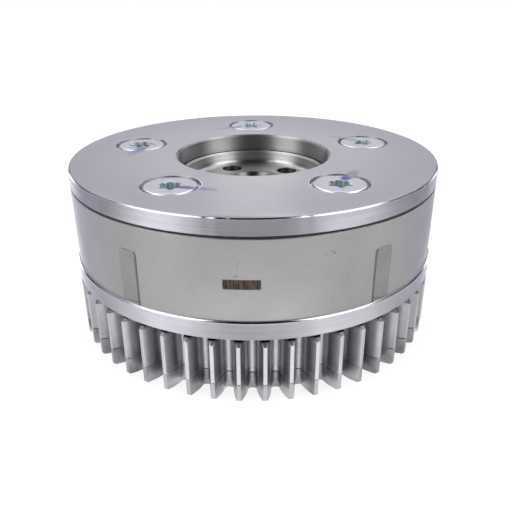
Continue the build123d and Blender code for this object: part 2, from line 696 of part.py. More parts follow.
def drive_gear():
    """Toothed rim, collar and rear wall of the chambers in one piece."""
    bore = JOURNAL_RADIUS + JOURNAL_GAP
    groove_floor = REGISTER_RADIUS - CLIP_GROOVE_DEPTH
    gear = turned([
        (bore, REAR_SETBACK),
        (REGISTER_RADIUS, REAR_SETBACK),
        (REGISTER_RADIUS, Z_CLIP),
        (groove_floor, Z_CLIP),
        (groove_floor, Z_CLIP + CLIP_THICKNESS + FACE_GAP),
        (REGISTER_RADIUS, Z_CLIP + CLIP_THICKNESS + FACE_GAP),
        (REGISTER_RADIUS, Z_SPLIT),
        (GROOVE_INNER, Z_SPLIT),
        (GROOVE_INNER, Z_GROOVE_ROOF),
        (GROOVE_OUTER, Z_GROOVE_ROOF),
        (GROOVE_OUTER, Z_SPLIT),
        (TIP_RADIUS, Z_SPLIT),
        (TIP_RADIUS, Z_TOOTH_TOP - TOOTH_FRONT_CHAMFER),
        (TIP_RADIUS - TOOTH_FRONT_CHAMFER, Z_TOOTH_TOP),
        (ROOT_RADIUS, Z_TOOTH_TOP),
        (ROOT_RADIUS, Z_COLLAR),
        (TIP_RADIUS, Z_COLLAR),
        (TIP_RADIUS, Z_CHAMBER - COLLAR_CHAMFER),
        (TIP_RADIUS - COLLAR_CHAMFER, Z_CHAMBER),
        (bore, Z_CHAMBER),
    ])
    gear -= tooth_spaces(Z_SPLIT - OVERRUN, Z_TOOTH_TOP)
    thread_depth = SCREW_DEPTH_IN_GEAR + OVERRUN
    for azimuth in screw_azimuths():
        gear -= rod_at(
            SCREW_RADIUS, Z_CHAMBER - thread_depth, Z_CHAMBER + OVERRUN, SCREW_CIRCLE_RADIUS, azimuth
        )
    for azimuth in dowel_azimuths():
        depth = DOWEL_LENGTH / 2 + PIN_GAP
        gear -= rod_at(
            DOWEL_RADIUS + PRESS_GAP, Z_CHAMBER - depth, Z_CHAMBER + OVERRUN, DOWEL_CIRCLE_RADIUS, azimuth
        )
    for azimuth in TOOL_HOLE_AZIMUTHS:
        gear -= rod_at(
            TOOL_HOLE_RADIUS, Z_SPLIT - OVERRUN, Z_SPLIT + TOOL_HOLE_DEPTH, TOOL_HOLE_CIRCLE_RADIUS, azimuth
        )
    inner, outer = seat_radii()
    gear -= rod_at(
        outer + PRESS_GAP, Z_CHAMBER - SEAT_DEPTH, Z_CHAMBER + OVERRUN, PIN_CIRCLE_RADIUS, VANE_AZIMUTH
    )
    gear -= rod_at(
        STOP_PIN_RADIUS + PRESS_GAP, Z_SPLIT, Z_GROOVE_ROOF + STOP_PIN_GRIP + PIN_GAP,
        SPRING_CIRCLE_RADIUS, STOP_PIN_AZIMUTH,
    )
    return gear


def kidney_slot():
    """Slot that the stop pin runs in, as long as the scissor gear's travel."""
    half = STOP_PIN_RADIUS + STOP_SLOT_CLEARANCE
    middle = STOP_PIN_AZIMUTH - SCISSOR_TRAVEL_ANGLE / 2
    plan = sector(SPRING_CIRCLE_RADIUS - half, SPRING_CIRCLE_RADIUS + half, middle, SCISSOR_TRAVEL_ANGLE)
    slot = extrude(plan, amount=SCISSOR_GEAR_HEIGHT + 2 * OVERRUN)
    slot = Pos(0, 0, -OVERRUN) * slot
    for azimuth in (STOP_PIN_AZIMUTH - SCISSOR_TRAVEL_ANGLE, STOP_PIN_AZIMUTH):
        slot += rod_at(half, -OVERRUN, SCISSOR_GEAR_HEIGHT + OVERRUN, SPRING_CIRCLE_RADIUS, azimuth)
    return slot


def scissor_gear():
    bore = REGISTER_RADIUS + REGISTER_GAP
    gear = turned([
        (bore, Z_SCISSOR_WEB),
        (SCISSOR_RECESS_RADIUS, Z_SCISSOR_WEB),
        (SCISSOR_RECESS_RADIUS, 0),
        (TIP_RADIUS - TOOTH_REAR_CHAMFER, 0),
        (TIP_RADIUS, TOOTH_REAR_CHAMFER),
        (TIP_RADIUS, SCISSOR_GEAR_HEIGHT),
        (bore, SCISSOR_GEAR_HEIGHT),
    ])
    gear -= tooth_spaces(-OVERRUN, SCISSOR_GEAR_HEIGHT + OVERRUN)
    gear -= kidney_slot()
    gear -= rod_at(
        STOP_PIN_RADIUS + PRESS_GAP, PIN_FLUSH_SETBACK - PIN_GAP, SCISSOR_GEAR_HEIGHT + OVERRUN,
        SPRING_CIRCLE_RADIUS, SPRING_PIN_AZIMUTH,
    )
    for azimuth in TOOL_HOLE_AZIMUTHS:
        gear -= rod_at(
            TOOL_HOLE_RADIUS, -OVERRUN, SCISSOR_GEAR_HEIGHT + OVERRUN, TOOL_HOLE_CIRCLE_RADIUS, azimuth
        )
    return gear


def scissor_stop_pin():
    top = Z_GROOVE_ROOF + STOP_PIN_GRIP
    return rod_at(STOP_PIN_RADIUS, PIN_FLUSH_SETBACK, top, SPRING_CIRCLE_RADIUS, STOP_PIN_AZIMUTH)


def scissor_spring_pin():
    top = Z_GROOVE_ROOF - SPRING_FLOOR_GAP
    return rod_at(STOP_PIN_RADIUS, PIN_FLUSH_SETBACK, top, SPRING_CIRCLE_RADIUS, SPRING_PIN_AZIMUTH)


def scissor_spring():
    """Open ring spring, sprung over the two pins in the gear's rear groove."""
    pin_half = degrees(asin(STOP_PIN_RADIUS / SPRING_CIRCLE_RADIUS) + PIN_GAP / SPRING_CIRCLE_RADIUS)
    first = STOP_PIN_AZIMUTH + pin_half
    last = 360 + SPRING_PIN_AZIMUTH - pin_half
    inner = SPRING_CIRCLE_RADIUS - SPRING_WIDTH / 2
    plan = sector(inner, inner + SPRING_WIDTH, (first + last) / 2, last - first)
    low = Z_GROOVE_ROOF - SPRING_FLOOR_GAP - SPRING_HEIGHT
    return Pos(0, 0, low) * extrude(plan, amount=SPRING_HEIGHT)


def scissor_retaining_ring():
    """External spring clip in the register's groove, with two eyed ears at its gap."""
    inner = REGISTER_RADIUS - CLIP_GROOVE_DEPTH + REGISTER_GAP
    outer = inner + CLIP_WIDTH
    plan = Sketch() + sector(inner, outer, CLIP_GAP_AZIMUTH + 180, 360 - CLIP_GAP_ANGLE)
    ear_circle = outer - CLIP_EAR_RADIUS + CLIP_EAR_RISE
    ear_angle = CLIP_GAP_ANGLE / 2 + degrees(CLIP_EAR_RADIUS / outer)
    ears = [polar(ear_circle, CLIP_GAP_AZIMUTH + turn) for turn in (ear_angle, -ear_angle)]
    for ear in ears:
        plan += Pos(*ear) * Circle(CLIP_EAR_RADIUS)
    plan -= Circle(inner)
    for ear in ears:
        plan -= Pos(*ear) * Circle(CLIP_EYE_RADIUS)
    return Pos(0, 0, Z_CLIP) * extrude(plan, amount=CLIP_THICKNESS)


# Assembly

def build():
    pieces = {
        "front_cover": front_cover(),
        "cover_seal_ring": cover_seal_ring(),
        "cover_screws": cover_screws(),
        "vane_housing": vane_housing(),
        "locating_dowels": locating_dowels(),
        "drive_gear": drive_gear(),
        "rotor": rotor(),
        "lock_pin": lock_pin(),
        "lock_pin_spring": lock_pin_spring(),
        "lock_pin_plug": lock_pin_plug(),
        "lock_pin_seat": lock_pin_seat(),
        "scissor_gear": scissor_gear(),
        "scissor_spring": scissor_spring(),
        "scissor_stop_pin": scissor_stop_pin(),
        "scissor_spring_pin": scissor_spring_pin(),
        "scissor_retaining_ring": scissor_retaining_ring(),
    }
    for index, azimuth in enumerate(vane_azimuths(), start=1):
        pieces[f"vane_seal_{index}"] = vane_strip(azimuth)
        pieces[f"vane_seal_spring_{index}"] = vane_leaf(azimuth)
    for index, azimuth in enumerate(screw_azimuths(), start=1):
        pieces[f"web_seal_{index}"] = web_strip(azimuth + WEB_STRIP_ANGLE)
        pieces[f"web_seal_spring_{index}"] = web_leaf(azimuth + WEB_STRIP_ANGLE)
    return pieces


def solids_of(piece):
    if isinstance(piece, list):
        return [solid for item in piece for solid in item.solids()]
    return list(piece.solids())


def write_parts(pieces):
    os.makedirs("parts", exist_ok=True)
    for name, piece in pieces.items():
        solids = solids_of(piece)
        shape = solids[0] if len(solids) == 1 else Compound(children=solids)
        export_step(shape, f"parts/{name}.step")


write_parts(build())
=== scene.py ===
from collections import namedtuple
from math import acos, asin, cos, degrees, pi, radians, sin, sqrt, tan

import bmesh
import bpy
from mathutils import Matrix, Vector, geometry


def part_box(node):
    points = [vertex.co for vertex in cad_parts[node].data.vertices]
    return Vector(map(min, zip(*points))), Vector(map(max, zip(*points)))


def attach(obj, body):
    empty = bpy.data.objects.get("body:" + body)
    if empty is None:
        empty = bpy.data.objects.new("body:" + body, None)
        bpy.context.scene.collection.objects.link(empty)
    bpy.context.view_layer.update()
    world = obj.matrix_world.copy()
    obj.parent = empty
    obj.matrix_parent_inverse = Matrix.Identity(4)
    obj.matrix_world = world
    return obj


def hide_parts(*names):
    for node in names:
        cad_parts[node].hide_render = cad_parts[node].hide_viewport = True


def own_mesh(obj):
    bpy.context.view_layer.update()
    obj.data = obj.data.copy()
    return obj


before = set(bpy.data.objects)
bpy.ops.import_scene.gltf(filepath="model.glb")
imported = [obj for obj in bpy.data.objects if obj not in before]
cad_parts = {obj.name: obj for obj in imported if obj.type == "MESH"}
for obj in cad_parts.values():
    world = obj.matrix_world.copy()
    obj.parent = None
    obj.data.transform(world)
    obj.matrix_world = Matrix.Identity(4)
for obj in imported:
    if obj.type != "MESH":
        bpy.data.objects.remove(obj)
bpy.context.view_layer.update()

# A vane-type cam phaser with a scissor gear, on its rear face. Lengths are in millimetres until a
# mesh is made. +Z runs up the axis to the front cover, and azimuths are degrees from the front
# side, -Y, towards +X.

MM = 0.001


def node_levels(node):
    """Lowest and highest level of a CAD node, in millimetres."""
    low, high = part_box(node)
    return low.z / MM, high.z / MM


def node_radius(node):
    low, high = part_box(node)
    return (high.x - low.x) / 2 / MM


# Levels and radii that the CAD nodes give
COVER_REAR, COVER_FACE = node_levels("front_cover")
HOUSING_REAR, HOUSING_FRONT = node_levels("vane_housing")
GEAR_REAR, GEAR_FACE = node_levels("drive_gear")
SCISSOR_REAR, SCISSOR_FRONT = node_levels("scissor_gear")
CASE_RADIUS = node_radius("front_cover")
TIP_RADIUS = node_radius("drive_gear")

# Front cover
COVER_BORE = 19.5
COVER_BORE_CHAMFER = 0.45
COVER_EDGE_CHAMFER = 0.28
# Roundings of small corners, and the short straight kept beside them
EASE = 0.06
EASE_WIDE = 0.08
STRAIGHT = 0.1
# Small knocks on the cover's edge, from handling: azimuths in degrees
EDGE_NICKS = (-11.0, -7.0, -3.0, 13.0, 47.0, 55.0)
NICK_REACH = 0.5
NICK_DEPTH = 0.09
NICK_FALL = 0.7
SEAL_STEP_RADIUS = 44.3
SEAL_STEP_HEIGHT = 0.62
SEAL_RING_SETBACK = 0.25
SEAL_RING_EASE = 0.2

# Lock pin's spring
PIN_SPRING_WIRE = 0.35
PIN_SPRING_TURNS = 5
WIRE_SIDES = 10
COIL_STEPS = 24

# Cover screws, one for each vane
VANES = 5
FIRST_SCREW = 37
SCREW_AZIMUTHS = [FIRST_SCREW + 360 / VANES * index for index in range(VANES)]
SCREW_TURNS = (0, 14, 33, 47, 8)
SCREW_CIRCLE = 32.0
SCREW_POCKET = 6.85
SCREW_POCKET_EASE = 0.1
SCREW_HEAD = 6.1
SCREW_FLAT = 1.5
SCREW_CROWN = 0.45
SCREW_TIP_CHAMFER = 0.45
SCREW_SINK = 0.1
SCREW_RIM_HEIGHT = 0.9
SCREW_SHANK = 2.95
SCREW_HOLE = 3.2
SCREW_THREAD = 3.0
SCREW_REACH = 7.4
THREAD_RUNOUT = 1.0
STAR_LOBES = 6
STAR_MEAN_RADIUS = 2.42
STAR_LOBE_HEIGHT = 0.4
STAR_DEPTH = 2.0
STAR_TAPER = 0.94
# Drill point under the recess: depth, and share of the recess's radius
DRILL_POINT = (0.5, 0.2)
# The recess's rounded mouth: depths, and how far it is wider there
STAR_MOUTH = ((0.22, 0.0), (0.07, 0.04), (0, 0.16))

# Vane housing
POCKET_HALF = 2.05
POCKET_DEPTH = 0.65
POCKET_TURN = -0.3
POCKET_HEIGHT = 12.63
POCKET_TOP = HOUSING_REAR + POCKET_HEIGHT
POCKET_CORNER = 1.0

# Teeth, the same on both gears
TEETH = 51
PITCH_RADIUS = 44.625
ROOT_RADIUS = 41.9
PRESSURE_ANGLE = radians(17.5)
TOOTH_THICKNESS = 2.586
TOOTH_AZIMUTH = 2.83
ROOT_FILLET = 0.85
ROOT_ROUND_SHARE = 0.82
ROOT_ROUND_TURNS = (0, 18, 36, 54, 72)
FLANK_STEPS = 5
GEAR_GAP = 0.06
GEAR_SPLIT = SCISSOR_FRONT + GEAR_GAP
TOOTH_TOP = 15.0
TOOTH_FRONT_CHAMFER = 0.8
TOOTH_REAR_CHAMFER = 0.35
COLLAR_REAR = 16.08
COLLAR_CHAMFER = 0.3
COLLAR_REAR_EASE = 0.15
COLLAR_UNDERCUT = 0.3
EDGE_BREAK = 0.1
# Share of a broken edge that its middle point keeps
EDGE_MIDDLE = 0.3
TOOTH_EASE = 0.08
RELIEF_STEP = 0.02

# Rear of the gears
GEAR_BORE = 20.05
REGISTER_RADIUS = 26.0
CLIP_GROOVE_FLOOR = 24.7
CLIP_GROOVE_LEVELS = (1.16, 2.7)
SPRING_GROOVE = (30.5, 37.1)
SPRING_GROOVE_ROOF = 9.16
SPRING_CIRCLE = 33.8
SCISSOR_BORE = 26.05
SCISSOR_RECESS = 30.4
SCISSOR_WEB = 2.7
STOP_PIN_AZIMUTH = 0.0
STOP_SLOT_HALF = 2.2
STOP_PIN_DEPTH = 4.85
SCISSOR_TRAVEL = 2.5
SPRING_PIN_AZIMUTH = -24.0
SPRING_PIN_FLOOR = 0.95
PIN_HOLE = 1.91
TOOL_HOLE = 1.5
TOOL_CIRCLE = 39.4
TOOL_AZIMUTHS = (90, 270)
TOOL_HOLE_DEPTH = 7.0
DOWEL_HOLE = 2.01
DOWEL_CIRCLE = 37.66
DOWEL_AZIMUTHS = (101.5, 245.5)
DOWEL_HOLE_DEPTH = 4.55
SEAT_HOLE = 4.66
SEAT_CIRCLE = 32.2
SEAT_AZIMUTH = 63.0
SEAT_DEPTH = 4.4

# Points round a full turn
ROUND_LARGE = 360
ROUND_MIDDLE = 180
ROUND_SMALL = 72
SHARP_ANGLE = radians(32)


# Meshes

def polar(radius, azimuth, height=0.0):
    turn = radians(azimuth)
    return Vector((radius * sin(turn), -radius * cos(turn), height))


def circle(radius, height, count, centre=Vector((0, 0, 0)), azimuths=None):
    """Ring of points, evenly spaced or at given azimuths."""
    azimuths = azimuths or [360 * index / count for index in range(count)]
    return [centre + polar(radius, azimuth, height) for azimuth in azimuths]


def eased(path, steps=3):
    """A (radius, height) path with the corners rounded that give an easing as a third number."""
    outline = [Vector(path[0][:2])]
    for before, here, after in zip(path, path[1:], path[2:]):
        corner = Vector(here[:2])
        if len(here) < 3:
            outline.append(corner)
            continue
        start = corner + (Vector(before[:2]) - corner).normalized() * here[2]
        end = corner + (Vector(after[:2]) - corner).normalized() * here[2]
        for step in range(steps + 1):
            share = step / steps
            outline.append(start.lerp(corner, share).lerp(corner.lerp(end, share), share))
    return outline + [Vector(path[-1][:2])]


class Shell:
    """A closed surface under construction, with the number of a finish on each face."""

    def __init__(self):
        self.points = []
        self.faces = []
        self.finishes = []

    def ring(self, points):
        start = len(self.points)
        self.points.extend(points)
        return list(range(start, len(self.points)))

    def face(self, corners, finish=0):
        self.faces.append(corners)
        self.finishes.append(finish)

    def band(self, first, last, finish=0, closed=True):
        """Quads between two rings or rows with as many points; finishes given as a tuple repeat."""
        for index, corner in enumerate(first if closed else first[:-1]):
            after = (index + 1) % len(first)
            own = finish[index % len(finish)] if isinstance(finish, tuple) else finish
            self.face((corner, first[after], last[after], last[index]), own)

    def turn(self, path, count, finish=0, centre=Vector((0, 0, 0)), start=None, azimuths=None):
        """Bands along a path turned about an axis, from a ring if one is given; gives the end rings."""
        rings = [start] if start else []
        for radius, height in path[len(rings):]:
            rings.append(self.ring(circle(radius, height, count, centre, azimuths)))
        for first, last in zip(rings, rings[1:]):
            self.band(first, last, finish)
        return rings[0], rings[-1]

    def dent(self, place, reach, depth):
        """Push the points near a place on an upper edge inwards and down."""
        for index, point in enumerate(self.points):
            if (point - place).length < reach:
                inwards = Vector((-point.x, -point.y, 0)).normalized()
                self.points[index] = point + depth * (inwards - Vector((0, 0, NICK_FALL)))

    def plate(self, rings, finish=0):
        """Flat face inside the first ring, with the other rings as holes."""
        corners = [index for ring in rings for index in ring]
        loops = [[self.points[index] for index in ring] for ring in rings]
        for triangle in geometry.tessellate_polygon(loops):
            self.face([corners[index] for index in triangle], finish)

    def blind_hole(self, radius, mouth, floor, centre, finish=0, count=ROUND_SMALL):
        """Hole with a flat end; gives the ring at its mouth."""
        mouth_ring, floor_ring = self.turn([(radius, mouth), (radius, floor)], count, finish, centre)
        self.face(floor_ring, finish)
        return mouth_ring

    def piece(self, name, body, slot, node, finishes):
        """The finished mesh as a piece that stands for a CAD node."""
        mesh = bpy.data.meshes.new(name)
        mesh.from_pydata([point * MM for point in self.points], [], self.faces)
        for material in finishes:
            mesh.materials.append(material)
        mesh.polygons.foreach_set("material_index", self.finishes)
        mesh.polygons.foreach_set("use_smooth", [True] * len(mesh.polygons))
        shell = bmesh.new()
        shell.from_mesh(mesh)
        bmesh.ops.recalc_face_normals(shell, faces=shell.faces)
        shell.to_mesh(mesh)
        shell.free()
        mesh.set_sharp_from_angle(angle=SHARP_ANGLE)
        piece = bpy.data.objects.new(name, mesh)
        bpy.context.scene.collection.objects.link(piece)
        flats = piece.modifiers.new("flats_stay_flat", "WEIGHTED_NORMAL")
        flats.keep_sharp = True
        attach(piece, body)
        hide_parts(node)
        return piece


# Gear teeth

def involute(angle):
    return tan(angle) - angle


BASE_RADIUS = PITCH_RADIUS * cos(PRESSURE_ANGLE)


def tooth_half(radius):
    """Half of a tooth's angle, in degrees, at a radius."""
    at_radius = acos(min(1.0, BASE_RADIUS / radius))
    at_pitch = TOOTH_THICKNESS / 2 / PITCH_RADIUS + involute(PRESSURE_ANGLE)
    return degrees(at_pitch - involute(at_radius))


def tooth_side(tip, inset, root):
    """(radius, degrees from the tooth's middle) points up one side, from root middle to tip middle."""
    foot = max(BASE_RADIUS, ROOT_RADIUS + ROOT_FILLET)
    foot_half = tooth_half(foot)
    spread = (180 / TEETH - foot_half) * ROOT_ROUND_SHARE
    points = [(root, 180 / TEETH)]
    for turn in ROOT_ROUND_TURNS:
        rise = (foot - root) * (1 - cos(radians(turn)))
        points.append((root + rise, foot_half + spread * (1 - sin(radians(turn)))))
    edge = tip - EDGE_BREAK
    for step in range(FLANK_STEPS + 1):
        radius = foot + (edge - foot) * step / FLANK_STEPS
        points.append((radius, tooth_half(radius)))
    tip_half = tooth_half(tip)
    middle = EDGE_BREAK * EDGE_MIDDLE
    points.append((tip - middle, tip_half - degrees(middle / tip)))
    points.append((tip, tip_half - degrees(EDGE_BREAK / tip)))
    points = [(radius, half - degrees(inset / radius)) for radius, half in points]
    points[0] = (root, 180 / TEETH)
    return points + [(tip, 0.0)]


def toothed_ring(level, tip, inset=0.0, root=ROOT_RADIUS):
    """(points, azimuths) of one outline round all the teeth, always with the same count of points."""
    side = tooth_side(tip, inset, root)
    points, azimuths = [], []
    for index in range(TEETH):
        middle = TOOTH_AZIMUTH + index * 360 / TEETH
        whole = [(radius, middle - half) for radius, half in side]
        whole += [(radius, middle + half) for radius, half in reversed(side[1:-1])]
        points += [polar(radius, azimuth, level) for radius, azimuth in whole]
        azimuths += [azimuth for radius, azimuth in whole]
    return points, azimuths


# Pieces

HOBBED, TURNED, EDGE, LAND, GROOVE_SHADE, BRUSHED_AND_SHADED = range(6)
# Finishes round one outline point after another of a tooth: flanks are hobbed, the land is turned
TOOTH_FINISHES = (HOBBED,) * 11 + (LAND,) * 6 + (HOBBED,) * 11
# Row of the drive gear's teeth from which their front chamfer is brushed and darkened as painted shade
TOOTH_CHAMFER_ROW = 4


def front_cover(finishes):
    """Ground face, turned rim and bore, a nicked burnished edge, and a stepped pocket for each screw."""
    ground, turned, edge, bored = 0, 1, 2, 3
    cover = Shell()
    rim = eased([
        (SEAL_STEP_RADIUS, COVER_REAR),
        (SEAL_STEP_RADIUS, COVER_REAR + SEAL_STEP_HEIGHT),
        (CASE_RADIUS, COVER_REAR + SEAL_STEP_HEIGHT, EASE_WIDE),
        (CASE_RADIUS, COVER_FACE - COVER_EDGE_CHAMFER - STRAIGHT),
    ])
    rear, ring = cover.turn(rim, ROUND_LARGE, turned)
    chamfer = eased([
        (CASE_RADIUS, COVER_FACE - COVER_EDGE_CHAMFER - STRAIGHT),
        (CASE_RADIUS, COVER_FACE - COVER_EDGE_CHAMFER, EASE),
        (CASE_RADIUS - COVER_EDGE_CHAMFER, COVER_FACE, EASE),
        (CASE_RADIUS - COVER_EDGE_CHAMFER - STRAIGHT, COVER_FACE),
    ])
    face = cover.turn(chamfer, ROUND_LARGE, edge, start=ring)[1]
    for azimuth in EDGE_NICKS:
        cover.dent(polar(CASE_RADIUS, azimuth, COVER_FACE), NICK_REACH, NICK_DEPTH)
    mouth = eased([
        (COVER_BORE + COVER_BORE_CHAMFER + STRAIGHT, COVER_FACE),
        (COVER_BORE + COVER_BORE_CHAMFER, COVER_FACE, EASE),
        (COVER_BORE, COVER_FACE - COVER_BORE_CHAMFER, EASE),
        (COVER_BORE, COVER_FACE - COVER_BORE_CHAMFER - STRAIGHT),
    ])
    wall = mouth[-1:] + [(COVER_BORE, COVER_REAR)]
    bore_front, bore = cover.turn(mouth, ROUND_MIDDLE, bored)
    bore_rear = cover.turn(wall, ROUND_MIDDLE, bored, start=bore)[1]
    seat_top = COVER_FACE - SCREW_SINK - SCREW_RIM_HEIGHT
    pocket = eased([
        (SCREW_POCKET + 2 * SCREW_POCKET_EASE, COVER_FACE),
        (SCREW_POCKET, COVER_FACE, SCREW_POCKET_EASE),
        (SCREW_POCKET, seat_top),
        (SCREW_HEAD, seat_top),
        (SCREW_HOLE, seat_top - SCREW_HEAD + SCREW_HOLE),
        (SCREW_HOLE, COVER_REAR),
    ])
    mouths, holes = [], []
    for azimuth in SCREW_AZIMUTHS:
        front, back = cover.turn(pocket, ROUND_SMALL, turned, polar(SCREW_CIRCLE, azimuth))
        mouths.append(front)
        holes.append(back)
    cover.plate([face, bore_front] + mouths, ground)
    cover.plate([rear, bore_rear] + holes, turned)
    return cover.piece("cover_plate", "case", "ground_steel", "front_cover", finishes)


def star_ring(centre, turn, height, grow=0.0, scale=1.0):
    """Six-lobed outline of a star drive."""
    points = []
    for index in range(ROUND_SMALL):
        angle = 360 * index / ROUND_SMALL
        radius = STAR_MEAN_RADIUS + STAR_LOBE_HEIGHT * cos(STAR_LOBES * radians(angle)) + grow
        points.append(centre + polar(radius * scale, angle + turn, height))
    return points


def cover_screws(finishes):
    """Countersunk star-drive screws with a rounded rim."""
    # recess: the plating in the star drive, darkened partly as painted shade
    plated, recess = 0, 1
    screws = Shell()
    top = COVER_FACE - SCREW_SINK
    seat_top = top - SCREW_RIM_HEIGHT
    tip = GEAR_FACE - SCREW_REACH
    body = eased([
        (SCREW_HEAD - SCREW_FLAT, top),
        (SCREW_HEAD, top, SCREW_CROWN),
        (SCREW_HEAD, seat_top, EASE_WIDE),
        (SCREW_SHANK, seat_top - SCREW_HEAD + SCREW_SHANK),
        (SCREW_SHANK, tip + SCREW_TIP_CHAMFER),
        (SCREW_SHANK - SCREW_TIP_CHAMFER, tip),
    ], steps=6)
    for azimuth, turn in zip(SCREW_AZIMUTHS, SCREW_TURNS):
        centre = polar(SCREW_CIRCLE, azimuth)
        floor = screws.ring(star_ring(centre, turn, top - STAR_DEPTH, scale=STAR_TAPER))
        depth, share = DRILL_POINT
        drill = screws.ring(star_ring(centre, turn, top - STAR_DEPTH - depth, scale=share))
        screws.face(drill, recess)
        screws.band(drill, floor, recess)
        for depth, grow in STAR_MOUTH:
            ring = screws.ring(star_ring(centre, turn, top - depth, grow))
            screws.band(floor, ring, recess)
            floor = ring
        head, end = screws.turn(body, ROUND_SMALL, plated, centre)
        screws.band(floor, head, plated)
        screws.face(end, plated)
    return screws.piece("cover_screw_set", "case", "zinc_plated_steel", "cover_screws", finishes)


def cover_seal_ring(finishes):
    seal = Shell()
    outer = CASE_RADIUS - SEAL_RING_SETBACK
    top = COVER_REAR + SEAL_STEP_HEIGHT
    path = eased([
        (SEAL_STEP_RADIUS, COVER_REAR),
        (outer, COVER_REAR, SEAL_RING_EASE),
        (outer, top, SEAL_RING_EASE),
        (SEAL_STEP_RADIUS, top),
    ])
    low, high = seal.turn(path, ROUND_LARGE)
    seal.band(high, low)
    return seal.piece("cover_seal", "case", "seal_rubber", "cover_seal_ring", finishes)


def drive_gear(finishes):
    """Toothed rim, relief groove, turned collar and the rear wall of the chambers."""
    gear = Shell()
    chamfer_start, chamfer_radius = TOOTH_TOP - TOOTH_FRONT_CHAMFER, TIP_RADIUS - TOOTH_FRONT_CHAMFER
    rows = (
        (GEAR_SPLIT, TIP_RADIUS - EDGE_BREAK, EDGE_BREAK, ROOT_RADIUS - EDGE_BREAK),
        (GEAR_SPLIT + EDGE_BREAK, TIP_RADIUS, 0, ROOT_RADIUS),
        (chamfer_start - TOOTH_EASE, TIP_RADIUS, 0, ROOT_RADIUS),
        (chamfer_start, TIP_RADIUS - TOOTH_EASE / 4, 0, ROOT_RADIUS),
        (chamfer_start + TOOTH_EASE, TIP_RADIUS - TOOTH_EASE, 0, ROOT_RADIUS),
        (TOOTH_TOP - 2 * TOOTH_EASE, chamfer_radius + 2 * TOOTH_EASE, 0, ROOT_RADIUS),
        (TOOTH_TOP, chamfer_radius - EASE, 2 * TOOTH_EASE, ROOT_RADIUS),
    )
    rings = []
    for level, tip, inset, root in rows:
        points, azimuths = toothed_ring(level, tip, inset, root)
        rings.append(gear.ring(points))
    for number, (first, last) in enumerate(zip(rings, rings[1:])):
        gear.band(first, last, BRUSHED_AND_SHADED if number >= TOOTH_CHAMFER_ROW else TOOTH_FINISHES)
    relief = ROOT_RADIUS - RELIEF_STEP
    underside = TIP_RADIUS - COLLAR_UNDERCUT
    groove = [(0, 0), (relief, TOOTH_TOP + RELIEF_STEP), (relief, COLLAR_REAR), (underside, COLLAR_REAR)]
    # The ends of the teeth, the relief groove and the collar's underside take painted shade
    ring = gear.turn(groove, 0, GROOVE_SHADE, start=rings[-1], azimuths=azimuths)[1]
    collar = eased([
        (underside, COLLAR_REAR),
        (TIP_RADIUS, COLLAR_REAR, COLLAR_REAR_EASE),
        (TIP_RADIUS, GEAR_FACE - COLLAR_CHAMFER - 2 * EASE),
    ])
    ring = gear.turn(collar, 0, TURNED, start=ring, azimuths=azimuths)[1]
    chamfer = eased([
        (TIP_RADIUS, GEAR_FACE - COLLAR_CHAMFER - 2 * EASE),
        (TIP_RADIUS, GEAR_FACE - COLLAR_CHAMFER, EASE_WIDE),
        (TIP_RADIUS - COLLAR_CHAMFER, GEAR_FACE, EASE),
        (TIP_RADIUS - COLLAR_CHAMFER - STRAIGHT, GEAR_FACE),
    ])
    face = gear.turn(chamfer, 0, EDGE, start=ring, azimuths=azimuths)[1]

    # Holes in the front face: screw threads, dowels and the lock pin's seat
    holes = []
    for radius, depth, distance, places in (
        (SCREW_THREAD, SCREW_REACH + THREAD_RUNOUT, SCREW_CIRCLE, SCREW_AZIMUTHS),
        (DOWEL_HOLE, DOWEL_HOLE_DEPTH, DOWEL_CIRCLE, DOWEL_AZIMUTHS),
        (SEAT_HOLE, SEAT_DEPTH, SEAT_CIRCLE, (SEAT_AZIMUTH,)),
    ):
        for azimuth in places:
            centre = polar(distance, azimuth)
            holes.append(gear.blind_hole(radius, GEAR_FACE, GEAR_FACE - depth, centre, TURNED))

    # Rear: spring groove, register with the clip's groove, rear face and bore
    inner, outer = SPRING_GROOVE
    outer_wall = [(outer, GEAR_SPLIT), (outer, SPRING_GROOVE_ROOF)]
    groove_outer, roof_outer = gear.turn(outer_wall, ROUND_MIDDLE, TURNED)
    register = [
        (inner, SPRING_GROOVE_ROOF),
        (inner, GEAR_SPLIT),
        (REGISTER_RADIUS, GEAR_SPLIT),
        (REGISTER_RADIUS, CLIP_GROOVE_LEVELS[1]),
        (CLIP_GROOVE_FLOOR, CLIP_GROOVE_LEVELS[1]),
        (CLIP_GROOVE_FLOOR, CLIP_GROOVE_LEVELS[0]),
        (REGISTER_RADIUS, CLIP_GROOVE_LEVELS[0], EDGE_BREAK),
        (REGISTER_RADIUS, GEAR_REAR, 2 * EDGE_BREAK),
        (GEAR_BORE, GEAR_REAR, 2 * EDGE_BREAK),
        (GEAR_BORE, GEAR_FACE),
    ]
    roof_inner, bore_front = gear.turn(eased(register), ROUND_MIDDLE, TURNED)
    stop_pin = polar(SPRING_CIRCLE, STOP_PIN_AZIMUTH)
    stop_end = SPRING_GROOVE_ROOF + STOP_PIN_DEPTH
    stop_hole = gear.blind_hole(PIN_HOLE, SPRING_GROOVE_ROOF, stop_end, stop_pin, TURNED)
    tool_end = GEAR_SPLIT + TOOL_HOLE_DEPTH
    tool_holes = [
        gear.blind_hole(TOOL_HOLE, GEAR_SPLIT, tool_end, polar(TOOL_CIRCLE, azimuth), TURNED)
        for azimuth in TOOL_AZIMUTHS
    ]
    gear.plate([face, bore_front] + holes, TURNED)
    gear.plate([roof_outer, roof_inner, stop_hole], TURNED)
    gear.plate([rings[0], groove_outer] + tool_holes, TURNED)
    return gear.piece("main_gear", "case", "gear_steel", "drive_gear", finishes)


# CAD meshes: corners this close are one, how far off a level's points may lie, and the slope of a
# normal that parts walls from flat faces
MERGE_GAP = 0.001
LEVEL_TOLERANCE = 0.005
STEEP = 0.5


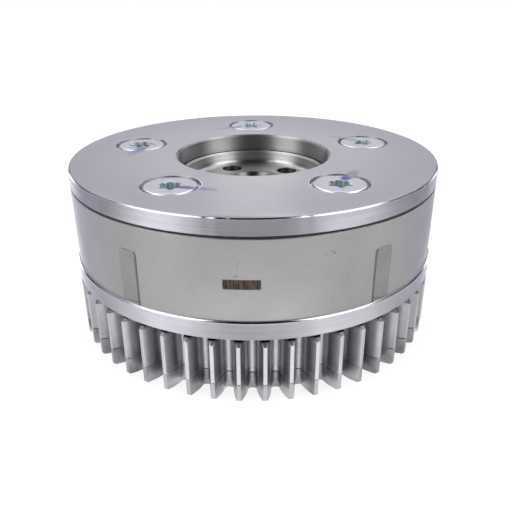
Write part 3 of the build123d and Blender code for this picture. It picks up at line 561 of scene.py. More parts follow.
def outlines(node, level):
    """Closed edges of a CAD node at a level, each as a list of points."""
    shape = bmesh.new()
    shape.from_mesh(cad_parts[node].data)
    bmesh.ops.remove_doubles(shape, verts=shape.verts, dist=MERGE_GAP * MM)
    rims = set()
    for edge in shape.edges:
        slopes = sorted(abs(face.normal.z) for face in edge.link_faces)
        on_level = all(abs(vert.co.z / MM - level) < LEVEL_TOLERANCE for vert in edge.verts)
        if on_level and slopes[0] < STEEP < slopes[-1]:
            rims.add(edge)
    found = []
    for first in sorted(rims, key=lambda edge: edge.index):
        if first not in rims:
            continue
        rims.discard(first)
        path = list(first.verts)
        while path[-1] is not path[0]:
            edge = next(edge for edge in path[-1].link_edges if edge in rims)
            rims.discard(edge)
            path.append(edge.other_vert(path[-1]))
        found.append([vert.co / MM for vert in path[:-1]])
    shape.free()
    return found


SIDE_ROWS = 8
CORNER_STEPS = 8
PATCH_HALF = 4.0
HOUSING_EASE = 0.15
# The rounded upper edge of the wall: inset, and depth under the front face
HOUSING_EDGE = ((0.02, 0.09), (0.06, 0.05), (0.12, 0.01), (0.2, 0))
# Outlines that come closer to the outside than this are the wall's own edge
WALL_EDGE_REACH = 1.0


def pocket_row(offset):
    """(across, level) outline of a side pocket grown by an offset, from its lower left end over the top."""
    corner = POCKET_CORNER + offset
    across, level = POCKET_HALF - POCKET_CORNER, POCKET_TOP - POCKET_CORNER
    rise = (level - HOUSING_REAR) / SIDE_ROWS
    side = [(-POCKET_HALF - offset, HOUSING_REAR + rise * row) for row in range(SIDE_ROWS)]
    for step in range(CORNER_STEPS + 1):
        turn = pi / 2 * step / CORNER_STEPS
        side.append((-across - corner * cos(turn), level + corner * sin(turn)))
    return side + [(-place, height) for place, height in reversed(side)]


def patch_row():
    """(across, level) outline of the wall patch round a side pocket, with as many points."""
    top = HOUSING_FRONT - HOUSING_EASE
    across, level = POCKET_HALF - POCKET_CORNER, POCKET_TOP - POCKET_CORNER
    side = [(-PATCH_HALF, height) for place, height in pocket_row(0)[:SIDE_ROWS]]
    half_steps = CORNER_STEPS // 2
    side += [(-PATCH_HALF, level + (top - level) * step / half_steps) for step in range(half_steps)]
    side += [
        (-PATCH_HALF + (PATCH_HALF - across) * step / half_steps, top) for step in range(half_steps + 1)
    ]
    return side + [(-place, height) for place, height in reversed(side)]


# Offsets from a pocket's outline and the share of its depth reached there: a soft brow and a small fillet
POCKET_PROFILE = (
    (0.8, 0), (0.55, 0), (0.25, 0.02), (0.09, 0.1), (0.02, 0.24), (-0.01, 0.42), (-0.03, 0.7), (-0.1, 0.92),
    (-0.26, 1),
)
# Rows of that profile which are still wall, and the row at which the painted shade ends
WALL_ROWS = 3
POCKET_SHADE_END = 8
# Columns counted towards a pocket's deep side, and the row at which the painted shade starts beyond them
POCKET_SHADE_STARTS = ((4, 1), (-2, 4))


def wall_patch(housing, azimuth, wall, pressed, corner):
    """Outer wall round one side pocket; gives its left, right, upper and lower edges."""
    outward, sideways = polar(1, azimuth), polar(1, azimuth + 90)
    deep_side = -1 if azimuth % 360 < 180 else 1
    mouth_out = sqrt(CASE_RADIUS ** 2 - POCKET_HALF ** 2)
    rows = []
    pocket = [(pocket_row(offset), share) for offset, share in POCKET_PROFILE]
    for outline, share in [(patch_row(), 0)] + pocket:
        points = []
        for across, level in outline:
            wall_out = sqrt(CASE_RADIUS ** 2 - across ** 2)
            fall = (0.5 + 0.5 * deep_side * across / POCKET_HALF) * POCKET_DEPTH
            out = wall_out + min(0, mouth_out - fall - wall_out) * share
            points.append(outward * out + sideways * across + Vector((0, 0, level)))
        rows.append(housing.ring(points))
    for number, (first, last) in enumerate(zip(rows, rows[1:])):
        columns = len(first) - 1
        for column in range(columns):
            # Painted shade on the rounded edge and wall along a pocket's deep side and, from a later row,
            # along its top
            towards_deep = (column - columns // 2) * deep_side
            shade_from_row = next((row for limit, row in POCKET_SHADE_STARTS if towards_deep > limit), POCKET_SHADE_END)
            own = corner if shade_from_row <= number < POCKET_SHADE_END else wall if number < WALL_ROWS else pressed
            housing.face((first[column], first[column + 1], last[column + 1], last[column]), own)
    inner = rows[-1]
    half = len(inner) // 2
    housing.band(inner[:half], inner[:half - 1:-1], pressed, closed=False)
    turn = SIDE_ROWS + CORNER_STEPS // 2
    edge = rows[0]
    lower = [row[0] for row in rows] + [row[-1] for row in reversed(rows)]
    return edge[:turn + 1], edge[::-1][:turn + 1], edge[turn:len(edge) - turn], lower


def vane_housing(finishes):
    """Outer wall with its side pockets, and the chambers and holes as the CAD node has them."""
    # corner: the finish with painted shade along the pockets' edges
    wall, pressed, machined, corner = 0, 1, 2, 3
    housing = Shell()
    azimuths = [azimuth + POCKET_TURN for azimuth in SCREW_AZIMUTHS]
    patches = [wall_patch(housing, azimuth, wall, pressed, corner) for azimuth in azimuths]
    edge_angle = degrees(asin(PATCH_HALF / CASE_RADIUS))
    gap = 360 / len(SCREW_AZIMUTHS) - 2 * edge_angle
    columns = round(gap)
    upper, lower = [], []
    for index, (left, right, top, bottom) in enumerate(patches):
        upper += top
        lower += bottom
        start = azimuths[index] + edge_angle
        levels = [housing.points[corner].z for corner in left]
        strip = [right]
        for column in range(1, columns):
            azimuth = start + gap * column / columns
            strip.append(housing.ring([polar(CASE_RADIUS, azimuth, level) for level in levels]))
            upper.append(strip[-1][-1])
            lower.append(strip[-1][0])
        strip.append(patches[(index + 1) % len(patches)][0])
        for first, last in zip(strip, strip[1:]):
            housing.band(first, last, wall, closed=False)
    rim = upper
    for inset, depth in HOUSING_EDGE:
        share = 1 - inset / CASE_RADIUS
        ring = housing.ring([
            Vector((point.x * share, point.y * share, HOUSING_FRONT - depth))
            for point in (housing.points[corner] for corner in upper)
        ])
        housing.band(rim, ring, wall)
        rim = ring

    front_rings, rear_rings = [rim], [lower]
    for outline in outlines("vane_housing", HOUSING_FRONT):
        if max(point.xy.length for point in outline) > CASE_RADIUS - WALL_EDGE_REACH:
            continue
        front = housing.ring(outline)
        rear = housing.ring([Vector((point.x, point.y, HOUSING_REAR)) for point in outline])
        housing.band(front, rear, machined)
        front_rings.append(front)
        rear_rings.append(rear)
    for azimuth in DOWEL_AZIMUTHS:
        end, centre = HOUSING_REAR + DOWEL_HOLE_DEPTH, polar(DOWEL_CIRCLE, azimuth)
        rear_rings.append(housing.blind_hole(DOWEL_HOLE, HOUSING_REAR, end, centre, machined))
    housing.plate(front_rings, machined)
    housing.plate(rear_rings, machined)
    return housing.piece("chamber_housing", "case", "sintered_steel", "vane_housing", finishes)


def kidney_ring(level, count=24):
    """Outline of the stop pin's slot."""
    first, last = STOP_PIN_AZIMUTH - SCISSOR_TRAVEL, STOP_PIN_AZIMUTH
    points = []
    for azimuth, start in ((last, 0), (first, 180)):
        centre = polar(SPRING_CIRCLE, azimuth, level)
        for index in range(count + 1):
            turn = azimuth + start + 180 * index / count
            points.append(centre + polar(STOP_SLOT_HALF, turn))
    return points


def lock_pin_spring(finishes):
    """Coil spring over the lock pin, built to fill the CAD node's box; in the phaser the lifting pin squeezes
    it against the plug.
    """
    low, high = (Vector(corner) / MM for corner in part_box("lock_pin_spring"))
    middle = (low + high) / 2
    coil_radius = (high.x - low.x) / 2 - PIN_SPRING_WIRE
    start, rise = low.z + PIN_SPRING_WIRE, high.z - low.z - 2 * PIN_SPRING_WIRE
    spring = Shell()
    rings = []
    steps = PIN_SPRING_TURNS * COIL_STEPS
    for step in range(steps + 1):
        angle = 360 * step / COIL_STEPS
        across = circle(PIN_SPRING_WIRE, 0, WIRE_SIDES)
        axis = Vector((middle.x, middle.y, start + rise * step / steps))
        rings.append(spring.ring([
            axis + polar(coil_radius + point.x, angle) + Vector((0, 0, point.y)) for point in across
        ]))
    for first, last in zip(rings, rings[1:]):
        spring.band(first, last)
    spring.face(rings[0])
    spring.face(rings[-1])
    piece = spring.piece("lock_pin_coil_spring", "rotor", "spring_steel", "lock_pin_spring", finishes)
    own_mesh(piece)


def scissor_gear(finishes):
    """Thin gear behind the main one, with its slot, spring-pin hole and tool holes."""
    gear = Shell()
    chamfer_radius, chamfer_end = TIP_RADIUS - TOOTH_REAR_CHAMFER, SCISSOR_REAR + TOOTH_REAR_CHAMFER
    rows = (
        (SCISSOR_REAR, chamfer_radius - EDGE_BREAK / 2, EDGE_BREAK, ROOT_RADIUS - EDGE_BREAK),
        (SCISSOR_REAR + EDGE_BREAK, chamfer_radius + EDGE_BREAK, 0, ROOT_RADIUS),
        (chamfer_end, TIP_RADIUS - TOOTH_EASE / 8, 0, ROOT_RADIUS),
        (chamfer_end + TOOTH_EASE, TIP_RADIUS, 0, ROOT_RADIUS),
        (SCISSOR_FRONT - EDGE_BREAK, TIP_RADIUS, 0, ROOT_RADIUS),
        (SCISSOR_FRONT, TIP_RADIUS - EDGE_BREAK, EDGE_BREAK, ROOT_RADIUS - EDGE_BREAK),
    )
    rings = [gear.ring(toothed_ring(*row)[0]) for row in rows]
    for first, last in zip(rings, rings[1:]):
        gear.band(first, last, TOOTH_FINISHES)
    recess = eased([
        (SCISSOR_RECESS, SCISSOR_REAR),
        (SCISSOR_RECESS, SCISSOR_WEB),
        (SCISSOR_BORE, SCISSOR_WEB),
        (SCISSOR_BORE, SCISSOR_FRONT),
    ])
    rear_inner, front_inner = gear.turn(recess, ROUND_MIDDLE, TURNED)
    rear_holes, front_holes = [], []
    for azimuth in TOOL_AZIMUTHS:
        wall = [(TOOL_HOLE, SCISSOR_REAR), (TOOL_HOLE, SCISSOR_FRONT)]
        rear, front = gear.turn(wall, ROUND_SMALL, TURNED, polar(TOOL_CIRCLE, azimuth))
        rear_holes.append(rear)
        front_holes.append(front)
    slot = [gear.ring(kidney_ring(level)) for level in (SCISSOR_REAR, SCISSOR_FRONT)]
    gear.band(slot[0], slot[1], TURNED)
    spring_pin = polar(SPRING_CIRCLE, SPRING_PIN_AZIMUTH)
    front_holes.append(gear.blind_hole(PIN_HOLE, SCISSOR_FRONT, SPRING_PIN_FLOOR, spring_pin, TURNED))
    gear.plate([rings[0], rear_inner, slot[0]] + rear_holes, TURNED)
    gear.plate([rings[-1], front_inner, slot[1]] + front_holes, TURNED)
    return gear.piece("rear_scissor_gear", "scissor_gear", "gear_steel", "scissor_gear", finishes)


# Materials

def linear(code):
    """Linear colour from an sRGB hex code."""
    values = [int(code[start:start + 2], 16) / 255 for start in (1, 3, 5)]
    return tuple(v / 12.92 if v <= 0.04045 else ((v + 0.055) / 1.055) ** 2.4 for v in values) + (1.0,)


def add(tree, kind, links=(), out=0, **settings):
    """Adds a node, with values or feeding sockets by name or number of its inputs; gives one output."""
    node = tree.nodes.new("ShaderNode" + kind)
    for name, value in settings.items():
        setattr(node, name, value)
    for name, value in dict(links).items():
        if isinstance(value, bpy.types.NodeSocket):
            tree.links.new(value, node.inputs[name])
        else:
            node.inputs[name].default_value = value
    return node.outputs[out] if node.outputs else node


# Settings of a Mix node for colours, and the numbers of its two inputs
COLOURS = {"data_type": "RGBA", "out": 2}
COLOUR_A, COLOUR_B = 6, 7
SMOOTH = {"interpolation_type": "SMOOTHSTEP"}


def new_material(name):
    material = bpy.data.materials.new(name)
    material.use_nodes = True
    material.node_tree.nodes.clear()
    return material, material.node_tree


# Object coordinates, and x, y, height and distance from the axis, in metres
Place = namedtuple("Place", "at x y height out")


def surface_place(tree):
    at = add(tree, "TexCoord", out="Object")
    x, y, height = add(tree, "SeparateXYZ", {0: at}).node.outputs
    flat = add(tree, "CombineXYZ", {0: x, 1: y})
    return Place(at, x, y, height, add(tree, "VectorMath", {0: flat}, "Value", operation="LENGTH"))


def azimuth_of(tree, x, y):
    back = add(tree, "Math", {0: y, 1: -1.0}, operation="MULTIPLY")
    return add(tree, "Math", {0: x, 1: back}, operation="ARCTAN2")


def between(tree, value, low, high, soft):
    """1 where a value lies between two limits, with soft ends."""
    rise = add(tree, "MapRange", {"Value": value, "From Min": low - soft, "From Max": low + soft}, **SMOOTH)
    fall = add(tree, "MapRange", {"Value": value, "From Min": high + soft, "From Max": high - soft}, **SMOOTH)
    return add(tree, "Math", {0: rise, 1: fall}, operation="MULTIPLY")


def tool_lay(tree, lay, lay_mm, stretch):
    """Noise drawn out along the marks of the tool: rings of a lathe or straight lines of a grinder."""
    place = surface_place(tree)
    across = 1 / (lay_mm * MM)
    if lay == "grain":
        vector = add(tree, "VectorMath", {0: place.at, "Scale": across}, operation="SCALE")
    else:
        if lay == "rings":
            steps = (place.x, place.y, add(tree, "Math", {0: place.out, 1: place.height}, operation="ADD"))
            scales = (across / stretch, across / stretch, across)
        else:
            steps = (place.x, place.y, place.height)
            scales = (across / stretch, across, across)
        vector = add(tree, "CombineXYZ", {
            number: add(tree, "Math", {0: step, 1: scale}, operation="MULTIPLY")
            for number, (step, scale) in enumerate(zip(steps, scales))
        })
    return add(tree, "TexNoise", {"Vector": vector, "Scale": 1.0, "Detail": 3.0})


# Part of a noise's range that is spread over the whole of a finish, and how high the tool's marks
# stand, as a share of their spacing
TONE_RANGE = (0.3, 0.7)
MARK_HEIGHT = 0.1
# Share of a turn that draws reflections out across the tool's rings
ACROSS_RINGS = 0.25


def steel(name, dark, light, roughness, lay, lay_mm=0.4, stretch=40, lay_share=0.5, cloud_mm=9,
          bump=0.1, anisotropy=0.0, marks=None):
    """Bare or plated steel: a lay from the tool and cloudy stains move its colour and roughness."""
    material, tree = new_material(name)
    lines = tool_lay(tree, lay, lay_mm, stretch)
    at = add(tree, "TexCoord", out="Object")
    cloud = add(tree, "TexNoise", {"Vector": at, "Scale": 1 / (cloud_mm * MM), "Detail": 4.0})
    tone = add(tree, "Mix", {0: lay_share, 2: cloud, 3: lines})
    tone = add(tree, "MapRange", {"Value": tone, "From Min": TONE_RANGE[0], "From Max": TONE_RANGE[1]})
    colour = add(tree, "Mix", {0: tone, COLOUR_A: linear(dark), COLOUR_B: linear(light)}, **COLOURS)
    rough = add(tree, "MapRange", {"Value": tone, "To Min": roughness[1], "To Max": roughness[0]})
    metallic = 1.0
    if marks:
        colour, rough, metallic = marks(tree, colour, rough)
    relief = add(tree, "Bump", {"Strength": bump, "Distance": lay_mm * MM * MARK_HEIGHT, "Height": lines})
    shader = {"Base Color": colour, "Roughness": rough, "Metallic": metallic, "Normal": relief}
    if anisotropy:
        shader["Anisotropic"] = anisotropy
        shader["Anisotropic Rotation"] = ACROSS_RINGS
        shader["Tangent"] = add(tree, "Tangent", direction_type="RADIAL", axis="Z")
    add(tree, "OutputMaterial", {"Surface": add(tree, "BsdfPrincipled", shader)})
    return material


# Assembler's blue ink strokes over the screws: start x, y, end x, y, width in mm, and strength
INK_STROKES = (
    (-16.3, -27.1, -8.6, -29.6, 2.0, 0.9),
    (20.9, -22.1, 23.9, -17.2, 2.6, 0.95),
    (-30.0, 5.2, -31.7, -0.8, 2.8, 0.7),
    (-4.4, 30.0, -10.2, 27.4, 2.3, 0.5),
    (28.8, 12.9, 22.6, 16.9, 2.3, 0.45),
)
INK_COLOUR = "#4A55B4"
INK_GRAIN = 0.8
# How far the ink wanders, and where its edge ends and is full, as shares of a stroke's width
INK_WANDER, INK_OUTER, INK_INNER = 0.5, 0.95, 0.45
INK_LEFT_AT_END = 0.3


def ink(tree, colour, rough):
    """Thin translucent ink: tints the steel under it, fades along the stroke and has ragged edges."""
    at = surface_place(tree).at
    flat = add(tree, "VectorMath", {0: at, 1: (1, 1, 0)}, operation="MULTIPLY")
    ragged = add(tree, "TexNoise", {"Vector": at, "Scale": 1 / (INK_GRAIN * MM), "Detail": 3.0})
    cover = 0.0
    for x0, y0, x1, y1, width, strength in INK_STROKES:
        start, along = Vector((x0, y0, 0)) * MM, Vector((x1 - x0, y1 - y0, 0)) * MM
        per_length = along / along.length_squared
        from_start = add(tree, "VectorMath", {0: flat, 1: start}, operation="SUBTRACT")
        share = add(tree, "VectorMath", {0: from_start, 1: per_length}, "Value", operation="DOT_PRODUCT")
        share = add(tree, "MapRange", {"Value": share})
        foot = add(tree, "VectorMath", {0: along, "Scale": share}, operation="SCALE")
        gap = add(tree, "VectorMath", {0: from_start, 1: foot}, "Value", operation="DISTANCE")
        gap = add(tree, "Math", {0: ragged, 1: width * INK_WANDER * MM, 2: gap}, operation="MULTIPLY_ADD")
        near = add(tree, "MapRange", {
            "Value": gap, "From Min": width * INK_OUTER * MM, "From Max": width * INK_INNER * MM,
        }, **SMOOTH)
        fade = add(tree, "MapRange", {
            "Value": share, "To Min": strength, "To Max": strength * INK_LEFT_AT_END,
        })
        stroke = add(tree, "Math", {0: near, 1: fade}, operation="MULTIPLY")
        cover = add(tree, "Math", {0: stroke, 1: cover}, operation="MAXIMUM")
    return add(tree, "Mix", {0: cover, COLOUR_A: colour, COLOUR_B: linear(INK_COLOUR)}, **COLOURS), rough, 1.0


# Painted sheen on the ground face, lighter from one distance from the axis to a nearer one,
# and in a band down the middle that begins at the front
SHEEN_COLOUR = "#E9E8EC"
SHEEN_SHARE = 0.5
SHEEN_REACH, SHEEN_MOST = 42, 24
SHEEN_BAND_HALF, SHEEN_BAND_SOFT = 8, 5
SHEEN_FORWARD = 12


def painted_sheen_face(tree, colour, rough):
    """Painted sheen: the ground face is lighter round the bore and in a band towards the front."""
    place = surface_place(tree)
    by_bore = add(tree, "MapRange", {
        "Value": place.out, "From Min": SHEEN_REACH * MM, "From Max": SHEEN_MOST * MM,
        "To Max": SHEEN_SHARE,
    })
    forward = add(tree, "MapRange", {
        "Value": place.y, "From Min": 0.0, "From Max": -SHEEN_FORWARD * MM, "To Max": SHEEN_SHARE,
    })
    half = SHEEN_BAND_HALF * MM
    middle = between(tree, place.x, -half, half, SHEEN_BAND_SOFT * MM)
    share = add(tree, "Math", {0: middle, 1: forward, 2: by_bore}, operation="MULTIPLY_ADD")
    colour = add(tree, "Mix", {0: share, COLOUR_A: colour, COLOUR_B: linear(SHEEN_COLOUR)}, **COLOURS)
    return ink(tree, colour, rough)


# Laser-marked patch on the housing: azimuths in degrees and levels in mm, with their softness
PATCH_AZIMUTHS, PATCH_AZIMUTH_SOFT = (-7.85, 1.73), 0.15
PATCH_LEVELS, PATCH_LEVEL_SOFT = (27.8, 30.0), 0.12
# The laser's upright passes: width and length in mm, and the part of the noise that is used
PASS_WIDTH, PASS_LENGTH = 0.45, 3.0
PASS_RANGE = (0.35, 0.62)
OXIDE_DARK, OXIDE_LIGHT = "#2E2220", "#6A5550"
OXIDE_ROUGHNESS, OXIDE_METALLIC = 0.6, 0.35
# Specks of grime beside it: azimuths and levels where they cling, softness, and size in mm
SPECK_PLACES = (((-6.8, -3.6), (30.6, 34.0)), ((11.0, 15.0), (32.4, 34.2)), ((17.5, 21.5), (33.8, 35.4)))
SPECK_AZIMUTH_SOFT, SPECK_LEVEL_SOFT = 0.3, 0.2
SPECK_GRAIN = 0.9
SPECK_RANGE, SPECK_STRENGTH = (0.63, 0.68), 0.6
SPECK_COLOUR = "#45403C"


def laser_patch(tree, colour, rough):
    """Brown oxide burnt in by a laser, in upright passes of uneven depth, and specks of grime near it."""
    place = surface_place(tree)
    azimuth = azimuth_of(tree, place.x, place.y)

    def zone(azimuths, levels, azimuth_soft, level_soft):
        low, high = azimuths
        in_azimuth = between(tree, azimuth, radians(low), radians(high), radians(azimuth_soft))
        in_level = between(tree, place.height, levels[0] * MM, levels[1] * MM, level_soft * MM)
        return add(tree, "Math", {0: in_azimuth, 1: in_level}, operation="MULTIPLY")

    upright = add(tree, "CombineXYZ", {
        0: add(tree, "Math", {0: azimuth, 1: CASE_RADIUS / PASS_WIDTH}, operation="MULTIPLY"),
        1: add(tree, "Math", {0: place.height, 1: 1 / (PASS_LENGTH * MM)}, operation="MULTIPLY"),
    })
    passes = add(tree, "TexNoise", {"Vector": upright, "Scale": 1.0, "Detail": 2.0})
    passes = add(tree, "MapRange", {"Value": passes, "From Min": PASS_RANGE[0], "From Max": PASS_RANGE[1]})
    oxide = add(tree, "Mix", {
        0: passes, COLOUR_A: linear(OXIDE_DARK), COLOUR_B: linear(OXIDE_LIGHT),
    }, **COLOURS)
    patch = zone(PATCH_AZIMUTHS, PATCH_LEVELS, PATCH_AZIMUTH_SOFT, PATCH_LEVEL_SOFT)
    colour = add(tree, "Mix", {0: patch, COLOUR_A: colour, COLOUR_B: oxide}, **COLOURS)
    grime = add(tree, "TexNoise", {"Vector": place.at, "Scale": 1 / (SPECK_GRAIN * MM), "Detail": 2.0})
    grime = add(tree, "MapRange", {
        "Value": grime, "From Min": SPECK_RANGE[0], "From Max": SPECK_RANGE[1], "To Max": SPECK_STRENGTH,
    })
    for azimuths, levels in SPECK_PLACES:
        specks = zone(azimuths, levels, SPECK_AZIMUTH_SOFT, SPECK_LEVEL_SOFT)
        specks = add(tree, "Math", {0: grime, 1: specks}, operation="MULTIPLY")
        colour = add(tree, "Mix", {0: specks, COLOUR_A: colour, COLOUR_B: linear(SPECK_COLOUR)}, **COLOURS)
    rough = add(tree, "Mix", {0: patch, 2: rough, 3: OXIDE_ROUGHNESS})
    metallic = add(tree, "MapRange", {"Value": patch, "To Min": 1.0, "To Max": OXIDE_METALLIC})
    return colour, rough, metallic


# Zones of painted light in the rotor's recess: distances from the axis, levels, colour and roughness.
# Painted shade in the gap at its rim, a painted highlight on its edge, the corner smoother, and painted
# shade on the floor, on the boss and in the holes
RECESS_PAINTED_LIGHT = (
    ((18.85, 20.5), (38.5, 39.2), "#3C3C3A", 0.5),
    ((18.2, 18.8), (38.3, 38.95), "#DAD9D6", 0.5),
    ((15.8, 18.6), (35.55, 36.7), "#B9B6B5", 0.3),
    ((8.4, 15.8), (35.3, 35.7), "#9A9795", 0.42),
    ((0.0, 8.4), (34.6, 37.5), "#85837F", 0.32),
    ((0.0, 17.0), (28.7, 35.35), "#63625F", 0.55),
)
RECESS_ZONE_SOFT = 0.08


def recess_painted_light(tree, colour, rough):
    """Painted light in the recess: painted shade in the gap at its rim, a painted highlight on its edge, a
    smoother corner, and painted shade on the floor, the boss and in the holes.
    """
    place = surface_place(tree)
    for distances, levels, tint, roughness in RECESS_PAINTED_LIGHT:
        spans = [
            between(tree, value, low * MM, high * MM, RECESS_ZONE_SOFT * MM)
            for value, (low, high) in ((place.out, distances), (place.height, levels))
        ]
        inside = add(tree, "Math", dict(enumerate(spans)), operation="MULTIPLY")
        colour = add(tree, "Mix", {0: inside, COLOUR_A: colour, COLOUR_B: linear(tint)}, **COLOURS)
        rough = add(tree, "Mix", {0: inside, 2: rough, 3: roughness})
    return colour, rough, 1.0


# How high the moulding's grain stands, as a share of its size
GRAIN_HEIGHT = 0.2


def moulded(name, dark, light, roughness, grain_mm, bump):
    """Rubber or filled plastic: matt, with a fine even grain."""
    material, tree = new_material(name)
    at = add(tree, "TexCoord", out="Object")
    grain = add(tree, "TexNoise", {"Vector": at, "Scale": 1 / (grain_mm * MM), "Detail": 4.0})
    colour = add(tree, "Mix", {0: grain, COLOUR_A: linear(dark), COLOUR_B: linear(light)}, **COLOURS)
    relief = add(tree, "Bump", {"Strength": bump, "Distance": grain_mm * MM * GRAIN_HEIGHT, "Height": grain})
    shader = add(tree, "BsdfPrincipled", {
        "Base Color": colour, "Roughness": roughness, "Metallic": 0.0, "IOR": 1.5, "Normal": relief,
    })
    add(tree, "OutputMaterial", {"Surface": shader})
    return material


# Bearing steel, surface ground: pale, faintly violet grey, with a fine straight grain, a painted sheen
# round the bore and towards the front, and the blue ink
ground_steel = steel(
    "bearing_steel_ground_painted_sheen", "#C5C4CD", "#CCCAD4", (0.31, 0.37), "lines", lay_mm=0.3, stretch=50,
    marks=painted_sheen_face,
)
# The same steel turned on a lathe: fine rings that draw reflections out up and down the wall
turned_steel = steel(
    "turned_bearing_steel", "#C2C1C7", "#DAD9DE", (0.5, 0.6), "rings", lay_mm=0.35, stretch=90,
    bump=0.12, anisotropy=0.95,
)
# The cover's bore, turned with a sharp tool: neutral grey, with finer rings than the rim
bored_steel = steel(
    "bored_bearing_steel", "#B3B2B3", "#CDCCCD", (0.46, 0.56), "rings", lay_mm=0.3, stretch=90,
    bump=0.1, anisotropy=0.95,
)
# Gear steel turned with a finer feed: its rings smear reflections less
turned_collar = steel(
    "turned_gear_collar", "#BDBCC1", "#D4D3D8", (0.42, 0.5), "rings", lay_mm=0.35, stretch=90,
    bump=0.1, anisotropy=0.9,
)
# Chamfers burnished by the edge of the tool: near mirror, so they flash or go dark
burnished_edge = steel(
    "burnished_steel_edge", "#C6C5CA", "#D6D5DA", (0.1, 0.18), "rings", lay_mm=0.5, bump=0.03,
)
# Sintered steel, sized and deburred: dull, even grey with soft clouds and no lay
sintered_steel = steel(
    "sized_sintered_steel", "#A2A2A1", "#B1B0AE", (0.4, 0.48), "grain", lay_mm=0.5, lay_share=0.35,
    cloud_mm=14, bump=0.06, marks=laser_patch,
)
# The same steel as it left the press: darker and more matt
pressed_steel = steel(
    "as_pressed_sintered_steel", "#929391", "#A0A09E", (0.48, 0.56), "grain", lay_mm=0.4, cloud_mm=6,
    bump=0.15,
)
# The rounded edge and wall on a pocket's deep side and along its top, darkened as painted shade: dark grey
pocket_edge_painted_shade = steel(
    "sintered_pocket_edge_painted_shade", "#6C6C6A", "#828280", (0.5, 0.6), "grain", lay_mm=0.4, cloud_mm=3, bump=0.15,
)
# Case-hardened gear steel, hobbed: satin flanks with marks along the tooth
hobbed_steel = steel(
    "hobbed_gear_steel", "#A3A2A4", "#B8B7BA", (0.26, 0.36), "rings", lay_mm=0.5, stretch=8, bump=0.06,
)
# The scissor gear, hobbed in the same way: darker, in blotches, partly stained by oil in use and partly
# painted shade from the table close under it
scissor_flank_oil_and_painted_shade = steel(
    "scissor_hobbed_oil_and_painted_shade", "#737275", "#B3B2B5", (0.28, 0.4), "rings", lay_mm=0.5, stretch=8,
    lay_share=0.25, cloud_mm=5, bump=0.06,
)
# Tops of its teeth, turned: darker than the main gear's, partly dulled by use and partly painted shade
# from the table close under it
scissor_land_wear_and_painted_shade = steel(
    "scissor_land_turned_wear_and_painted_shade", "#A2A1A6", "#B6B5BA", (0.3, 0.4), "rings", lay_mm=0.35, stretch=60, bump=0.08,
)
# Tops of the teeth, turned before they were hobbed: brighter than the flanks
turned_gear_steel = steel(
    "turned_gear_steel", "#BDBCC1", "#CECDD2", (0.3, 0.4), "rings", lay_mm=0.35, stretch=60, bump=0.08,
)
# Front ends of the teeth, as the hob and a wire brush left them: dull, and dark partly as painted shade under
# the collar
brushed_and_painted_shade_steel = steel(
    "wire_brushed_painted_shade_steel", "#77777A", "#8F8F92", (0.42, 0.5), "grain", lay_mm=0.3, bump=0.12,
)
# Relief groove, turned with a parting tool: satin, and dark as painted shade under the collar; the ends
# of the teeth and the collar's underside take it too
groove_painted_shade = steel(
    "groove_turned_painted_shade", "#4C4C4D", "#68686A", (0.3, 0.42), "rings", lay_mm=0.3, bump=0.12,
)
# Rotor steel, turned: a warmer grey with broad rings, and painted light in its recess
rotor_painted_recess_light = steel(
    "turned_rotor_painted_recess_light", "#B0AEAE", "#CCCAC9", (0.42, 0.52), "rings", lay_mm=0.45, stretch=120,
    bump=0.12, anisotropy=0.9, marks=recess_painted_light,
)
# Zinc plate with a clear passivation: bright, bluish white, faintly orange-peeled
zinc_plate = steel(
    "zinc_plated_steel", "#E4E5F0", "#F2F3FA", (0.28, 0.38), "grain", lay_mm=0.6, cloud_mm=2.5,
    bump=0.08, marks=ink,
)
# The same plating inside the star drive: teal grey where it is thin, glinting, and darker than the head
# partly from oil and partly as painted shade in the recess
star_drive_plating_painted_shade = steel(
    "zinc_plating_star_drive_painted_shade", "#9DADB3", "#F4F9FB", (0.3, 0.45), "grain", lay_mm=0.35, cloud_mm=1.2, bump=0.5,
)
# Through-hardened steel, centreless ground: bright pins and bushes
hardened_steel = steel(
    "hardened_ground_steel", "#B4B3B6", "#CDCCCF", (0.2, 0.3), "rings", lay_mm=0.3, bump=0.08,
)
# Oil-tempered spring steel: dark grey-blue scale with an oily sheen
spring_steel = steel(
    "oil_tempered_spring_steel", "#55565B", "#6F7076", (0.3, 0.42), "grain", lay_mm=0.3, bump=0.1,
)
# Nitrile rubber, moulded: matt near-black
nitrile_rubber = moulded("nitrile_rubber", "#1C1C1B", "#2C2C2A", 0.62, 0.3, 0.2)
# Bronze-filled PTFE, machined: dull brown sealing strips
filled_ptfe = moulded("bronze_filled_ptfe", "#4A3A2C", "#63503E", 0.5, 0.4, 0.15)

front_cover([ground_steel, turned_steel, burnished_edge, bored_steel])
cover_screws([zinc_plate, star_drive_plating_painted_shade])
cover_seal_ring([nitrile_rubber])
vane_housing([sintered_steel, pressed_steel, turned_steel, pocket_edge_painted_shade])
drive_gear([hobbed_steel, turned_collar, burnished_edge, turned_gear_steel, groove_painted_shade, brushed_and_painted_shade_steel])
scissor_gear([scissor_flank_oil_and_painted_shade, turned_steel, burnished_edge, scissor_land_wear_and_painted_shade])
lock_pin_spring([spring_steel])

# CAD nodes whose shape is right take a finish of their own
CARRIED = {
    "rotor": rotor_painted_recess_light,
    "locating_dowels": hardened_steel,
    "lock_pin": hardened_steel,
    "lock_pin_plug": hardened_steel,
    "lock_pin_seat": hardened_steel,
    "scissor_stop_pin": hardened_steel,
    "scissor_spring_pin": hardened_steel,
    "scissor_spring": spring_steel,
    "scissor_retaining_ring": spring_steel,
}
for index in range(1, VANES + 1):
    for place in ("vane", "web"):
        CARRIED[f"{place}_seal_{index}"] = filled_ptfe
        CARRIED[f"{place}_seal_spring_{index}"] = spring_steel
for node, material in CARRIED.items():
    for material_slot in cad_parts[node].material_slots:
        material_slot.material = material


